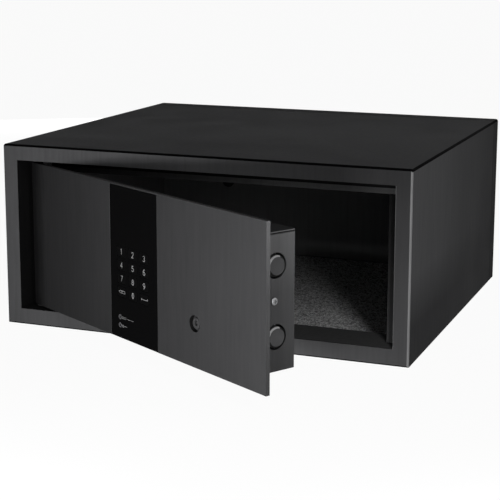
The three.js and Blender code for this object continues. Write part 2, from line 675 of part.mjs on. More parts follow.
// A strip on the plate's back that runs into knuckles rolled round the rod.
function hingeLeaf() {
  const knuckleBottom = openingBottom + BUSH_FLANGE_THICKNESS + KNUCKLE_END_PLAY;
  const knuckleTop = openingTop - BUSH_FLANGE_THICKNESS - KNUCKLE_END_PLAY;
  const step = (knuckleTop - knuckleBottom - KNUCKLE_LENGTH) / (KNUCKLE_COUNT - 1);
  const stripLeft = hingeX + knuckleRadius + LEAF_STRIP_GAP;
  let leaf = block(stripLeft, hingeX + LEAF_WIDTH, behindDoor, behindDoor + LEAF_THICKNESS,
    doorBottom + DOOR_GAP_BOTTOM, doorTop - DOOR_GAP_BOTTOM);
  const bores = [];
  for (let i = 0; i < KNUCKLE_COUNT; i += 1) {
    const low = knuckleBottom + i * step;
    const high = low + KNUCKLE_LENGTH;
    const tongue = block(hingeX, stripLeft + SUNK, behindDoor, behindDoor + LEAF_THICKNESS, low, high);
    leaf = join(leaf, roundBar("z", hingeX, hingeY, knuckleRadius, low, high), tongue);
    bores.push(roundBar("z", hingeX, hingeY, ROD_RADIUS + RUN_CLEARANCE, low - PAST, high + PAST));
  }
  return cut(leaf, ...bores);
}

function keypadFascia() {
  const strip = block(fasciaLeft + SEAT_CLEARANCE, fasciaRight - SEAT_CLEARANCE,
    doorFace, doorFace + FASCIA_THICKNESS, doorBottom, doorTop - FASCIA_TOP_MARGIN - SEAT_CLEARANCE);
  const keyHoles = KEY_NAMES.map((name, index) => (
    sweep("y", keyOutline(index, RUN_CLEARANCE), doorFace - PAST, doorFace + FASCIA_THICKNESS + PAST)));
  const lightHoles = LIGHT_HEIGHTS.map((height) => roundBar("y", doorRight - LIGHT_FROM_FREE_EDGE,
    doorBottom + height, LIGHT_RADIUS + SEAT_CLEARANCE, doorFace - PAST,
    doorFace + FASCIA_THICKNESS + PAST));
  return cut(strip, ...keyHoles, ...lightHoles);
}

function keyCap(index) {
  const cap = sweep("y", keyOutline(index, 0), doorFace, keyFlangeFront + SUNK);
  const flange = sweep("y", keyOutline(index, KEY_FLANGE), keyFlangeFront, keyFlangeBack);
  return join(cap, flange);
}

function lightPinSolid(height) {
  return roundBar("y", doorRight - LIGHT_FROM_FREE_EDGE, doorBottom + height, LIGHT_RADIUS,
    doorFace, doorBack);
}

function keyMat() {
  return block(keyMiddle - windowHalfWidth + RUN_CLEARANCE, keyMiddle + windowHalfWidth - RUN_CLEARANCE,
    matFront, matBack, windowBottom + RUN_CLEARANCE, windowTop - RUN_CLEARANCE);
}

// The board with a sounder, a chip and the socket for the motor's lead.
function controlBoard() {
  const componentBack = boardBack + COMPONENT_HEIGHT;
  const board = block(boardLeft, boardRight, boardFront, boardBack, boardBottom, boardTop);
  const buzzer = roundBar("y", boardLeft + 2 * BUZZER_RADIUS, boardBottom + 2 * BUZZER_RADIUS,
    BUZZER_RADIUS, boardBack - SUNK, componentBack);
  const chip = block(boardMiddle - CHIP_SIZE / 2, boardMiddle + CHIP_SIZE / 2,
    boardBack - SUNK, boardBack + CHIP_THICKNESS, boardBottom + CHIP_SIZE, boardBottom + 2 * CHIP_SIZE);
  const socket = block(socketMiddle - SOCKET_WIDTH / 2, socketMiddle + SOCKET_WIDTH / 2,
    boardBack - SUNK, componentBack, displayBottom - SOCKET_WIDTH, displayBottom);
  return join(board, buzzer, chip, socket);
}

place(door, "door_plate", doorPlate(), doorPaint);
place(door, "hinge_leaf", hingeLeaf(), doorPaint);
place(door, "keypad_fascia", keypadFascia(), fasciaGloss);
KEY_NAMES.forEach((name, index) => place(door, name, keyCap(index), keyGloss));
place(door, "light_pin_upper", lightPinSolid(LIGHT_HEIGHTS[0]), lightPin);
place(door, "light_pin_lower", lightPinSolid(LIGHT_HEIGHTS[1]), lightPin);
place(door, "key_mat", keyMat(), blackRubber);
place(door, "display_module", block(boardMiddle - DISPLAY_WIDTH / 2, boardMiddle + DISPLAY_WIDTH / 2,
  keyFlangeFront, boardFront - SEAT_CLEARANCE, displayBottom, displayTop), displaySmoke);
place(door, "control_board", controlBoard(), boardGreen);

// Override key lock

function overrideLockBody() {
  const body = roundBar("y", lockX, lockZ, LOCK_BODY_RADIUS, behindDoor, behindDoor + LOCK_BODY_LENGTH);
  const bore = roundBar("y", lockX, lockZ, PLUG_RADIUS + RUN_CLEARANCE, behindDoor - PAST,
    behindDoor + LOCK_BODY_LENGTH + PAST);
  return cut(body, bore);
}

// The plug has a round keyway with a post in its middle and one slot beside it.
function overridePlug() {
  const front = doorFace + PLUG_RECESS;
  const plug = roundBar("y", lockX, lockZ, PLUG_RADIUS, front, behindDoor + LOCK_BODY_LENGTH + SEAT_CLEARANCE,
    FINE_SEGMENTS);
  const keyway = roundBar("y", lockX, lockZ, KEYWAY_RADIUS, front - PAST, front + KEYWAY_DEPTH);
  const slot = block(lockX - KEYWAY_POST_RADIUS / 2, lockX + KEYWAY_POST_RADIUS / 2, front - PAST,
    front + KEYWAY_DEPTH, lockZ, lockZ + KEYWAY_RADIUS + KEYWAY_SLOT);
  const post = roundBar("y", lockX, lockZ, KEYWAY_POST_RADIUS, front, front + KEYWAY_DEPTH + SUNK);
  return join(cut(plug, keyway, slot), post);
}

function overrideCam() {
  const front = behindDoor + LOCK_BODY_LENGTH + 2 * SEAT_CLEARANCE;
  const hub = roundBar("y", lockX, lockZ, CAM_HUB_RADIUS, front, front + CAM_THICKNESS);
  const lever = block(lockX - CAM_LENGTH, lockX, front, front + CAM_THICKNESS,
    lockZ - CAM_HUB_RADIUS / 2, lockZ + CAM_HUB_RADIUS / 2);
  return join(hub, lever);
}

place(door, "override_lock_body", overrideLockBody(), zincSteel);
place(door, "override_plug", overridePlug(), darkSteel);
place(door, "override_cam", overrideCam(), zincSteel);

// Lock housing, its screws and the battery cover's rails

function housingRail(edge, direction) {
  const inner = edge + direction * RUN_CLEARANCE;
  const outer = inner + direction * RAIL_THICKNESS;
  const lipBack = coverBack + RUN_CLEARANCE + RAIL_THICKNESS;
  const left = trayLeft;
  const right = trayRight + COVER_TRAVEL;
  const web = block(left, right, housingBack - SUNK, lipBack,
    Math.min(inner, outer), Math.max(inner, outer));
  const lipEdge = edge - direction * RAIL_LIP;
  const lip = block(left, right, coverBack + RUN_CLEARANCE, lipBack,
    Math.min(lipEdge, outer), Math.max(lipEdge, outer));
  return join(web, lip);
}

// The box of folded sheet. Its top sheet laps over the side that the bolts leave, with a seam under its edge.
function lockHousing() {
  const shell = block(housingLeft, housingRight, behindDoor, housingBack, housingBottom, housingTop);
  const hollow = block(housingLeft + HOUSING_WALL, housingRight - HOUSING_WALL,
    behindDoor - PAST, housingInnerBack, housingBottom + HOUSING_WALL, housingTop - HOUSING_WALL);
  const boltHoles = boltZs.map((z) => roundBar("x", boltY, z, BOLT_HOLE_RADIUS,
    housingRight - HOUSING_WALL - PAST, housingRight + PAST, FINE_SEGMENTS));
  const sideScrewHole = roundBar("x", sideScrewY, sideScrewZ,
    SCREW_RADIUS + RUN_CLEARANCE, housingRight - HOUSING_WALL - PAST, housingRight + PAST);
  const hatch = block(hatchLeft, hatchRight, housingInnerBack - PAST, housingBack + PAST,
    hatchBottom, hatchTop);
  const screwHoles = postPlaces().map(([x, z]) => roundBar("y", x, z, SCREW_RADIUS + RUN_CLEARANCE,
    housingInnerBack - PAST, housingBack + PAST));
  const seam = block(housingRight - SEAM_DEPTH, housingRight + PAST, behindDoor - PAST,
    housingBack - SEAM_DEPTH, housingTop - HOUSING_WALL - SEAM_WIDTH, housingTop - HOUSING_WALL);
  const walls = cut(shell, hollow, ...boltHoles, sideScrewHole, hatch, ...screwHoles, seam);
  return join(walls, housingRail(trayTop, 1), housingRail(trayBottom, -1));
}

// A domed screw head with its shank. The shank runs away from the head's seat.
function screw(axis, a, b, seat, direction) {
  const level = (distance) => seat + direction * distance;
  return turned(axis, a, b, [
    [0, level(-SCREW_LENGTH)],
    [SCREW_RADIUS, level(-SCREW_LENGTH)],
    [SCREW_RADIUS, level(0)],
    [SCREW_HEAD_RADIUS, level(0)],
    [SCREW_HEAD_RADIUS, level(SCREW_HEAD_HEIGHT / 2)],
    ...SCREW_DOME.map(([out, up]) => [SCREW_HEAD_RADIUS * out, level(SCREW_HEAD_HEIGHT * up)]),
    [0, level(SCREW_HEAD_HEIGHT)],
  ]);
}

// A plate with finger ridges at the end that is pushed.
function batteryCover() {
  let cover = block(trayLeft, trayRight, coverFront, coverBack, trayBottom, trayTop);
  for (let i = 0; i < GRIP_COUNT; i += 1) {
    const x = trayLeft + GRIP_FROM_EDGE + i * GRIP_PITCH;
    cover = join(cover, block(x, x + GRIP_WIDTH, coverBack - SUNK, coverBack + GRIP_HEIGHT,
      trayMiddle - cellPitch, trayMiddle + cellPitch));
  }
  return cover;
}

function batteryTray() {
  const shell = block(trayLeft, trayRight, trayFront, trayBack, trayBottom, trayTop);
  const hollow = block(trayLeft + TRAY_WALL, trayRight - TRAY_WALL, trayFloor, trayBack + PAST,
    trayBottom + TRAY_WALL, trayTop - TRAY_WALL);
  const contacts = [];
  for (let i = 0; i < CELL_COUNT; i += 1) {
    const z = cellZ(i);
    const reach = TRAY_WALL + TRAY_END_ROOM - RUN_CLEARANCE;
    contacts.push(roundBar("x", cellY, z, CELL_NIPPLE_RADIUS, trayLeft + SUNK, trayLeft + reach,
      SMALL_SEGMENTS));
    contacts.push(roundBar("x", cellY, z, CELL_NIPPLE_RADIUS, trayRight - reach + CELL_NIPPLE_LENGTH,
      trayRight - SUNK, SMALL_SEGMENTS));
  }
  return join(cut(shell, hollow), ...contacts);
}

function cellZ(index) {
  return trayMiddle + (index - (CELL_COUNT - 1) / 2) * cellPitch;
}

function batteryCell(index) {
  const right = cellLeft + CELL_LENGTH;
  return turned("x", cellY, cellZ(index), [
    [0, cellLeft],
    [CELL_RADIUS, cellLeft],
    [CELL_RADIUS, right - CELL_NIPPLE_LENGTH],
    [CELL_NIPPLE_RADIUS, right - CELL_NIPPLE_LENGTH],
    [CELL_NIPPLE_RADIUS, right],
    [0, right],
  ]);
}

place(door, "lock_housing", lockHousing(), doorPaint);
postPlaces().forEach(([x, z], index) => place(door, `housing_screw_${index + 1}`,
  screw("y", x, z, housingBack + SEAT_CLEARANCE, 1), brightSteel));
place(door, "side_screw", screw("x", sideScrewY, sideScrewZ, housingRight + SEAT_CLEARANCE, 1), brightSteel);
place(door, "battery_tray", batteryTray(), blackPlastic);
for (let i = 0; i < CELL_COUNT; i += 1) place(door, `battery_cell_${i + 1}`, batteryCell(i), cellWrap);
place(door, "battery_cover", batteryCover(), blackPlastic);

// Bolts and their guide

function bolt(z) {
  return turned("x", boltY, z, [
    [0, boltStart],
    [BOLT_RADIUS, boltStart],
    [BOLT_RADIUS, boltTip - BOLT_CHAMFER],
    [BOLT_RADIUS - BOLT_CHAMFER, boltTip],
    [0, boltTip],
  ], FINE_SEGMENTS);
}

// The teeth are straight-sided and face the pinion. A gap lies opposite the pinion's centre.
function rackOutline() {
  const pitch = Math.PI * GEAR_MODULE;
  const slope = Math.tan(PRESSURE_ANGLE);
  const halfTooth = pitch / 4 - TOOTH_BACKLASH / 4;
  const gapsBefore = Math.ceil(BOLT_TRAVEL / pitch) + RACK_SPARE_TEETH;
  const root = pitchLine - TOOTH_DEDENDUM;
  const tip = pitchLine + TOOTH_ADDENDUM;
  const armLeft = pinionX - (gapsBefore + 0.5) * pitch;
  const points = [
    new THREE.Vector2(barLeft + SUNK, barFront),
    new THREE.Vector2(barLeft + SUNK, root),
  ];
  for (let i = RACK_SPARE_TEETH; i >= -gapsBefore + 1; i -= 1) {
    const centre = pinionX + (i - 0.5) * pitch;
    points.push(new THREE.Vector2(centre + halfTooth + TOOTH_DEDENDUM * slope, root));
    points.push(new THREE.Vector2(centre + halfTooth - TOOTH_ADDENDUM * slope, tip));
    points.push(new THREE.Vector2(centre - halfTooth + TOOTH_ADDENDUM * slope, tip));
    points.push(new THREE.Vector2(centre - halfTooth - TOOTH_DEDENDUM * slope, root));
  }
  points.push(new THREE.Vector2(armLeft, root));
  points.push(new THREE.Vector2(armLeft, barFront));
  return new THREE.Shape(points);
}

function boltBar() {
  const low = Math.min(...boltZs) - BAR_OVERHANG;
  const high = Math.max(...boltZs) + BAR_OVERHANG;
  const bar = sweep("x", roundedRectangle(barFront, barBack, low, high, BAR_CORNER), barLeft, barRight);
  return join(bar, sweep("z", rackOutline(), rackBottom, rackTop));
}

// Involute teeth, one pointing straight at the rack.
function pinionOutline() {
  const base = pinionRadius * Math.cos(PRESSURE_ANGLE);
  const tip = pinionRadius + TOOTH_ADDENDUM;
  const root = pinionRadius - TOOTH_DEDENDUM;
  const involute = (angle) => Math.tan(angle) - angle;
  const halfAtPitch = Math.PI / (2 * PINION_TEETH) - TOOTH_BACKLASH / (4 * pinionRadius);
  const halfAt = (radius) => halfAtPitch + involute(PRESSURE_ANGLE) - involute(Math.acos(base / radius));
  const flank = FLANK_SHARES.map((share) => base + (tip - base) * share);
  const points = [];
  const add = (radius, angle) => points.push(new THREE.Vector2(
    pinionX + radius * Math.cos(angle), pinionY + radius * Math.sin(angle)));
  for (let i = 0; i < PINION_TEETH; i += 1) {
    const middle = -Math.PI / 2 + (2 * Math.PI * i) / PINION_TEETH;
    add(root, middle - halfAt(base));
    flank.forEach((radius) => add(radius, middle - halfAt(radius)));
    [...flank].reverse().forEach((radius) => add(radius, middle + halfAt(radius)));
    add(root, middle + halfAt(base));
  }
  return new THREE.Shape(points);
}

function drivePinion() {
  const gear = sweep("z", pinionOutline(), rackBottom, rackTop);
  const shaft = roundBar("z", pinionX, pinionY, SHAFT_RADIUS, rackBottom - SHAFT_BELOW_PINION,
    gearboxBottom + SHAFT_IN_GEARBOX);
  return join(gear, shaft);
}

// An upright plate with a bore for each bolt, a foot on the door and an ear for the housing's side screw.
function boltGuide() {
  const right = housingRight - GUIDE_FROM_HOUSING_SIDE;
  const left = right - GUIDE_THICKNESS;
  const low = Math.min(...boltZs) - BOLT_RADIUS - GUIDE_MARGIN;
  const high = Math.max(...boltZs) + BOLT_RADIUS + GUIDE_MARGIN;
  const web = block(left, right, behindDoor, boltY + BOLT_RADIUS + GUIDE_THICKNESS, low, high);
  const foot = block(right - GUIDE_FOOT, right, behindDoor, behindDoor + GUIDE_THICKNESS, low, high);
  const earEnd = housingRight - HOUSING_WALL - RUN_CLEARANCE;
  const ear = block(right - SUNK, earEnd, sideScrewY - SIDE_SCREW_EAR, sideScrewY + SIDE_SCREW_EAR,
    sideScrewZ - SIDE_SCREW_EAR, sideScrewZ + SIDE_SCREW_EAR);
  const bores = boltZs.map((z) => roundBar("x", boltY, z, BOLT_RADIUS + RUN_CLEARANCE, left - PAST,
    right + PAST, FINE_SEGMENTS));
  const thread = roundBar("x", sideScrewY, sideScrewZ, SCREW_RADIUS + RUN_CLEARANCE,
    earEnd - SCREW_LENGTH, earEnd + PAST);
  return cut(join(web, foot, ear), ...bores, thread);
}

place(door, "bolt_bar", boltBar(), zincSteel);
place(door, "bolt_upper", bolt(boltZs[0]), darkSteel);
place(door, "bolt_lower", bolt(boltZs[1]), darkSteel);
place(door, "bolt_guide", boltGuide(), zincSteel);
place(door, "drive_pinion", drivePinion(), gearNylon);

// Motor, bracket, switch and lead

function motorBracket() {
  const left = pinionX - BRACKET_HALF_WIDTH;
  const right = pinionX + BRACKET_HALF_WIDTH;
  const shelf = block(left, right, behindDoor, pinionY + GEARBOX_SIDE / 2, bracketBottom, bracketTop);
  const foot = block(left, right, behindDoor, behindDoor + BRACKET_THICKNESS, bracketBottom,
    bracketBottom + BRACKET_FOOT_HEIGHT);
  const shaftHole = roundBar("z", pinionX, pinionY, SHAFT_RADIUS + RUN_CLEARANCE, bracketBottom - PAST,
    bracketTop + PAST);
  return cut(join(shelf, foot), shaftHole);
}

function lockMotor() {
  const gearbox = block(pinionX - GEARBOX_SIDE / 2, pinionX + GEARBOX_SIDE / 2,
    pinionY - GEARBOX_SIDE / 2, pinionY + GEARBOX_SIDE / 2, gearboxBottom, gearboxTop);
  const can = roundBar("z", pinionX, pinionY, MOTOR_RADIUS, gearboxTop - SUNK, motorTop);
  const bore = roundBar("z", pinionX, pinionY, SHAFT_RADIUS + RUN_CLEARANCE, gearboxBottom - PAST,
    gearboxBottom + SHAFT_IN_GEARBOX + RUN_CLEARANCE);
  return cut(join(gearbox, can), bore);
}

function boltSwitch() {
  const right = barLeft - SWITCH_BUTTON_REACH - 2 * RUN_CLEARANCE;
  const left = right - SWITCH_LENGTH;
  const low = rackTop + SWITCH_ABOVE_RACK;
  const body = block(left, right, behindDoor, behindDoor + SWITCH_DEPTH, low, low + SWITCH_HEIGHT);
  const button = roundBar("x", behindDoor + SWITCH_DEPTH - SWITCH_BUTTON_INSET, low + SWITCH_HEIGHT / 2,
    SWITCH_BUTTON_RADIUS, right - SUNK, right + SWITCH_BUTTON_REACH, SMALL_SEGMENTS);
  return join(body, button);
}

// The lead leaves the motor's end, arches over and drops into the board's socket.
function motorLead() {
  const socketY = boardBack + COMPONENT_HEIGHT / 2;
  const socketTop = displayBottom + RUN_CLEARANCE;
  const crest = housingTop - HOUSING_WALL - 2 * LEAD_RADIUS;
  const route = new THREE.CatmullRomCurve3([
    new THREE.Vector3(pinionX, pinionY, motorTop + RUN_CLEARANCE),
    new THREE.Vector3(pinionX, pinionY, motorTop + LEAD_STRAIGHT),
    new THREE.Vector3(pinionX - LEAD_TURN, pinionY - 1, crest - 1),
    new THREE.Vector3((pinionX + socketMiddle) / 2, (pinionY + socketY) / 2, crest),
    new THREE.Vector3(socketMiddle + LEAD_TURN, socketY + 1, crest - 2),
    new THREE.Vector3(socketMiddle, socketY, crest - LEAD_DROP),
    new THREE.Vector3(socketMiddle, socketY, socketTop + LEAD_STRAIGHT),
    new THREE.Vector3(socketMiddle, socketY, socketTop),
  ]);
  const section = circle(0, 0, LEAD_RADIUS, LEAD_SIDES);
  const options = { steps: LEAD_STEPS, bevelEnabled: false, extrudePath: route };
  return solidOf(new THREE.ExtrudeGeometry(section, options));
}

place(door, "motor_bracket", motorBracket(), zincSteel);
place(door, "lock_motor", lockMotor(), brightSteel);
place(door, "bolt_switch", boltSwitch(), blackPlastic);
place(door, "motor_lead", motorLead(), leadRed);

model.position.y = -CASE_DEPTH / 2;
const hotelSafe = new THREE.Group();
hotelSafe.add(model);
export default hotelSafe;
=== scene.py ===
"""Room safe with a swinging door: fine shapes, finishes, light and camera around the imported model.

Metres, +Z up, +Y into the case. At rest the door stands part open. Its turned parts and prints are drawn
where they lie with the door shut, and DOOR turns them to where they are at rest.
"""

import json
import math
import random

import bmesh
import bpy
from mathutils import Matrix, Vector, noise

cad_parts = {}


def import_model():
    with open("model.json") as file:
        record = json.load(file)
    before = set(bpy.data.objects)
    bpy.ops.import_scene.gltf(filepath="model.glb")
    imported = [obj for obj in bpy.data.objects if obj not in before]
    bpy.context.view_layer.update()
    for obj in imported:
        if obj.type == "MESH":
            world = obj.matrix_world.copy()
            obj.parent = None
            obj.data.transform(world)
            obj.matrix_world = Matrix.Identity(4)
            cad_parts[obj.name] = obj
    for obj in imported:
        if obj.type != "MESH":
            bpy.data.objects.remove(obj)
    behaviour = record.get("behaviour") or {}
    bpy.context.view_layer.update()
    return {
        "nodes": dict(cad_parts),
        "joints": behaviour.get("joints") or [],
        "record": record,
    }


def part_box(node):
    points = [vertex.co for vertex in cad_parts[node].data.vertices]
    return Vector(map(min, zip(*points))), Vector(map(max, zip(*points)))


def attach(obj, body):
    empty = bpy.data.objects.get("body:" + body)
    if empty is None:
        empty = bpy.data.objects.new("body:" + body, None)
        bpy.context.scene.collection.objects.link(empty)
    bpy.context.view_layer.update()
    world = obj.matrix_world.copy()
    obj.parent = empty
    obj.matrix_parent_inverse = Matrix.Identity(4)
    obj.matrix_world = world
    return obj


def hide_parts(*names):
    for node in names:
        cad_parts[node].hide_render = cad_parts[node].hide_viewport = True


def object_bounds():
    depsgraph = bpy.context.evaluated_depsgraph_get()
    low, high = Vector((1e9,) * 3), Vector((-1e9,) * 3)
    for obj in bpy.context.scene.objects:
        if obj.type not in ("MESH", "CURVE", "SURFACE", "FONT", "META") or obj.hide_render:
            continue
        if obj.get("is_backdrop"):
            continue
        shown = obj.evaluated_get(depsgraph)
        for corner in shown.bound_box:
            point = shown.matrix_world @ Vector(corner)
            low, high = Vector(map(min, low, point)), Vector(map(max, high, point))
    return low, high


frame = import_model()
NODES = frame["nodes"]
MM = 0.001

# Places that come from the frame

hinge = next(joint for joint in frame["joints"] if joint["name"] == "door_hinge")
DOOR_OPEN = math.radians(-hinge["range_deg"][0])
PIVOT = Vector((hinge["pos_m"][0], hinge["pos_m"][1], 0))
DOOR = Matrix.Translation(PIVOT) @ Matrix.Rotation(-DOOR_OPEN, 4, "Z") @ Matrix.Translation(-PIVOT)
SHUT = DOOR.inverted()


def shut_box(node):
    """The lowest and highest corner of a door node, where it lies with the door shut."""
    corners = [SHUT @ vertex.co for vertex in NODES[node].data.vertices]
    low = Vector(min(corner[i] for corner in corners) for i in range(3))
    high = Vector(max(corner[i] for corner in corners) for i in range(3))
    return low, high


def middle_of(low, high):
    return (low + high) / 2


# Axes for a drawing or a turned part: its X, its Y and the way it faces
FACING_FRONT = Matrix(((1, 0, 0), (0, 0, -1), (0, 1, 0))).to_4x4()
ALONG_X = Matrix(((0, 0, 1), (1, 0, 0), (0, 1, 0))).to_4x4()
ALONG_Y = Matrix(((1, 0, 0), (0, 0, 1), (0, -1, 0))).to_4x4()


def way_of(axes):
    """The way that a drawing or a turned part with these axes faces."""
    return axes.to_3x3() @ Vector((0, 0, 1))


# Node trees

def new_tree(name):
    material = bpy.data.materials.new(name)
    material.use_nodes = True
    return material, material.node_tree


def add_node(tree, kind, **inputs):
    node = tree.nodes.new(kind)
    for name, value in inputs.items():
        node.inputs[name.replace("_", " ")].default_value = value
    return node


def place_of(tree):
    """The point on the piece, in metres."""
    return tree.nodes.new("ShaderNodeTexCoord").outputs["Object"]


def noise_of(tree, place, scale, detail=2.0, roughness=0.5):
    node = add_node(tree, "ShaderNodeTexNoise", Scale=scale, Detail=detail, Roughness=roughness)
    tree.links.new(place, node.inputs["Vector"])
    return node.outputs["Fac"]


def cells_of(tree, place, scale):
    node = add_node(tree, "ShaderNodeTexVoronoi", Scale=scale)
    tree.links.new(place, node.inputs["Vector"])
    return node.outputs["Distance"]


def stretched(tree, place, x, y, z):
    node = tree.nodes.new("ShaderNodeMapping")
    node.inputs["Scale"].default_value = (x, y, z)
    tree.links.new(place, node.inputs["Vector"])
    return node.outputs["Vector"]


def between(tree, value, low, high, start=0.3, end=0.7):
    """A number that goes from low to high as the value goes from start to end."""
    node = tree.nodes.new("ShaderNodeMapRange")
    for name, number in (("From Min", start), ("From Max", end), ("To Min", low), ("To Max", high)):
        node.inputs[name].default_value = number
    tree.links.new(value, node.inputs["Value"])
    return node.outputs["Result"]


def shades(tree, value, *stops):
    """A colour ramp through (position, colour) stops."""
    ramp = tree.nodes.new("ShaderNodeValToRGB")
    elements = ramp.color_ramp.elements
    while len(elements) < len(stops):
        elements.new(0.5)
    for element, (position, colour) in zip(elements, stops):
        element.position = position
        element.color = (*colour, 1)
    tree.links.new(value, ramp.inputs["Fac"])
    return ramp.outputs["Color"]


def sum_of(tree, first, second, share):
    """The first value plus a share of the second."""
    node = tree.nodes.new("ShaderNodeMath")
    node.operation = "MULTIPLY_ADD"
    node.inputs[1].default_value = share
    tree.links.new(second, node.inputs[0])
    tree.links.new(first, node.inputs[2])
    return node.outputs["Value"]


def mixed_colours(tree, share, first, second, way="MIX"):
    """The first colour where the share is 0, and what the second makes of it where the share is 1.

    The share is a number or an output of the tree."""
    node = tree.nodes.new("ShaderNodeMixRGB")
    node.blend_type = way
    if isinstance(share, float):
        node.inputs["Fac"].default_value = share
    else:
        tree.links.new(share, node.inputs["Fac"])
    tree.links.new(first, node.inputs["Color1"])
    tree.links.new(second, node.inputs["Color2"])
    return node.outputs["Color"]


def bumped(tree, shader, height, strength, distance):
    node = add_node(tree, "ShaderNodeBump", Strength=strength, Distance=distance)
    tree.links.new(height, node.inputs["Height"])
    tree.links.new(node.outputs["Normal"], shader.inputs["Normal"])


def shader_of(tree, metallic=0.0, specular=0.5):
    shader = tree.nodes["Principled BSDF"]
    shader.inputs["Metallic"].default_value = metallic
    shader.inputs["Specular IOR Level"].default_value = specular
    return shader


def tone(colour, share):
    return tuple(channel * share for channel in colour)


# Materials

# Painted light and shade in paint: where its stops start on a ramp, how much of the ramp they fill, and how
# far they waver
SHADE_RAMP_START = 0.03
SHADE_RAMP_SPAN = 0.95
SHADE_RAMP_UNEVEN = 0.03

# Flecks in paint: where on the noise they start, and the darkest and palest share of the colour
FLECKS_FROM = 0.55
FLECK_DARK = 0.93
FLECK_PALE = 1.07


def painted_shade_colours(tree, level, flecks, uneven, colour, shares):
    """The colour times the share of painted light and shade at each level, with slightly uneven borders and
    the flecks of the paint.

    Shares are (level, share) in order."""
    start = shares[0][0]
    end = shares[-1][0]
    along = between(tree, level, 0.0, SHADE_RAMP_SPAN, start, end)
    stops = []
    for at, share in shares:
        stops.append((SHADE_RAMP_START + SHADE_RAMP_SPAN * (at - start) / (end - start), tone(colour, share)))
    colours = shades(tree, sum_of(tree, along, uneven, SHADE_RAMP_UNEVEN), *stops)
    return mixed_colours(tree, 1.0, colours, flecks, "MULTIPLY")


def powder_paint(name, colour, specular, rough, painted_shading=None, painted_shading_top=None):
    """Black powder paint: a fine pebbled skin with faint cloudy patches, upright streaks and tiny specks.

    Painted light and shade, when given, change the colour along one axis: the axis, and places on it with the
    share of the colour at each. Painted shading for the top has the heights where other shares start to come
    in and hold, and those shares."""
    material, tree = new_tree(name)
    shader = shader_of(tree, specular=specular)
    place = place_of(tree)
    clouds = noise_of(tree, place, scale=22.0, detail=3.0)
    streaks = noise_of(tree, stretched(tree, place, 1, 1, 0.06), scale=320.0)
    patches = sum_of(tree, streaks, clouds, share=0.4)
    grain = noise_of(tree, place, scale=1400.0, detail=3.0, roughness=0.6)
    mixed = sum_of(tree, patches, grain, share=0.3)
    # Painted light and shade: shares of the colour along an axis, and above a height, stand in for how light
    # falls
    if painted_shading:
        axis, shares = painted_shading
        parts = tree.nodes.new("ShaderNodeSeparateXYZ")
        tree.links.new(place, parts.inputs["Vector"])
        flecks = shades(tree, mixed, (FLECKS_FROM, (FLECK_DARK,) * 3), (1.0, (FLECK_PALE,) * 3))
        colours = painted_shade_colours(tree, parts.outputs[axis], flecks, mixed, colour, shares)
        if painted_shading_top:
            low, high, top_shares = painted_shading_top
            above = painted_shade_colours(tree, parts.outputs[axis], flecks, mixed, colour, top_shares)
            height = between(tree, parts.outputs["Z"], 0.0, 1.0, low, high)
            colours = mixed_colours(tree, height, colours, above)
    else:
        dark = tone(colour, FLECK_DARK)
        pale = tone(colour, FLECK_PALE)
        colours = shades(tree, mixed, (FLECKS_FROM, dark), (1.0, pale))
    tree.links.new(colours, shader.inputs["Base Color"])
    tree.links.new(between(tree, clouds, rough - 0.04, rough + 0.05), shader.inputs["Roughness"])
    pebbles = sum_of(tree, noise_of(tree, place, scale=620.0), grain, share=0.5)
    bumped(tree, shader, pebbles, strength=0.25, distance=0.12 * MM)
    return material


def smooth_plastic(name, colour, rough, specular=0.5, grain_scale=900.0, grain=0.1):
    """Moulded plastic with a fine grain and slight flow patches."""
    material, tree = new_tree(name)
    shader = shader_of(tree, specular=specular)
    place = place_of(tree)
    patches = noise_of(tree, place, scale=60.0)
    colours = shades(tree, patches, (0.35, tone(colour, 0.92)), (0.65, tone(colour, 1.08)))
    tree.links.new(colours, shader.inputs["Base Color"])
    tree.links.new(between(tree, patches, rough * 0.9, rough * 1.12), shader.inputs["Roughness"])
    bumped(tree, shader, noise_of(tree, place, grain_scale), grain, distance=0.08 * MM)
    return material


def brushed_metal(name, colour, rough, stretch=(1, 1, 12), specular=0.5, metallic=1.0):
    """Metal with fine drawn lines, which lie across the axis that has the largest stretch."""
    material, tree = new_tree(name)
    shader = shader_of(tree, metallic=metallic, specular=specular)
    place = place_of(tree)
    lines = noise_of(tree, stretched(tree, place, *stretch), scale=260.0, detail=4.0, roughness=0.6)
    stains = noise_of(tree, place, scale=90.0, detail=3.0)
    mixed = sum_of(tree, stains, lines, share=0.5)
    colours = shades(tree, mixed, (0.5, tone(colour, 0.86)), (1.0, tone(colour, 1.08)))
    tree.links.new(colours, shader.inputs["Base Color"])
    tree.links.new(between(tree, lines, rough * 0.8, rough * 1.25), shader.inputs["Roughness"])
    bumped(tree, shader, lines, strength=0.12, distance=0.05 * MM)
    return material


def dull_metal(name, colour, rough, specular):
    """Metal that is too dull to mirror, with an even grain."""
    return brushed_metal(name, colour, rough, (1, 1, 1), specular, metallic=0.0)


def felt(name, dark, light):
    """Needle-punched carpet: tangled fibres, paler at their tips."""
    material, tree = new_tree(name)
    shader = shader_of(tree, specular=0.1)
    shader.inputs["Roughness"].default_value = 0.95
    place = place_of(tree)
    tufts = noise_of(tree, place, scale=260.0, detail=4.0, roughness=0.75)
    specks = cells_of(tree, place, scale=560.0)
    mixed = sum_of(tree, tufts, specks, share=0.5)
    middle = tuple((a + b) / 2 for a, b in zip(dark, light))
    colours = shades(tree, mixed, (0.55, dark), (0.72, middle), (0.88, light))
    tree.links.new(colours, shader.inputs["Base Color"])
    bumped(tree, shader, mixed, strength=0.9, distance=0.8 * MM)
    return material


PAINT_CASE = (0.07, 0.07, 0.072)
PAINT_DOOR = (0.031, 0.031, 0.032)
# The stop strips' darker tone is painted shade from the jambs
STOP_SHADED_TONE = (0.024, 0.024, 0.0245)

# How paint shines: its specular level and its roughness
CASE_SHINE = (0.008, 0.78)
MATT_SHINE = (0.01, 0.8)
BLACK_SHINE = (0.005, 0.8)
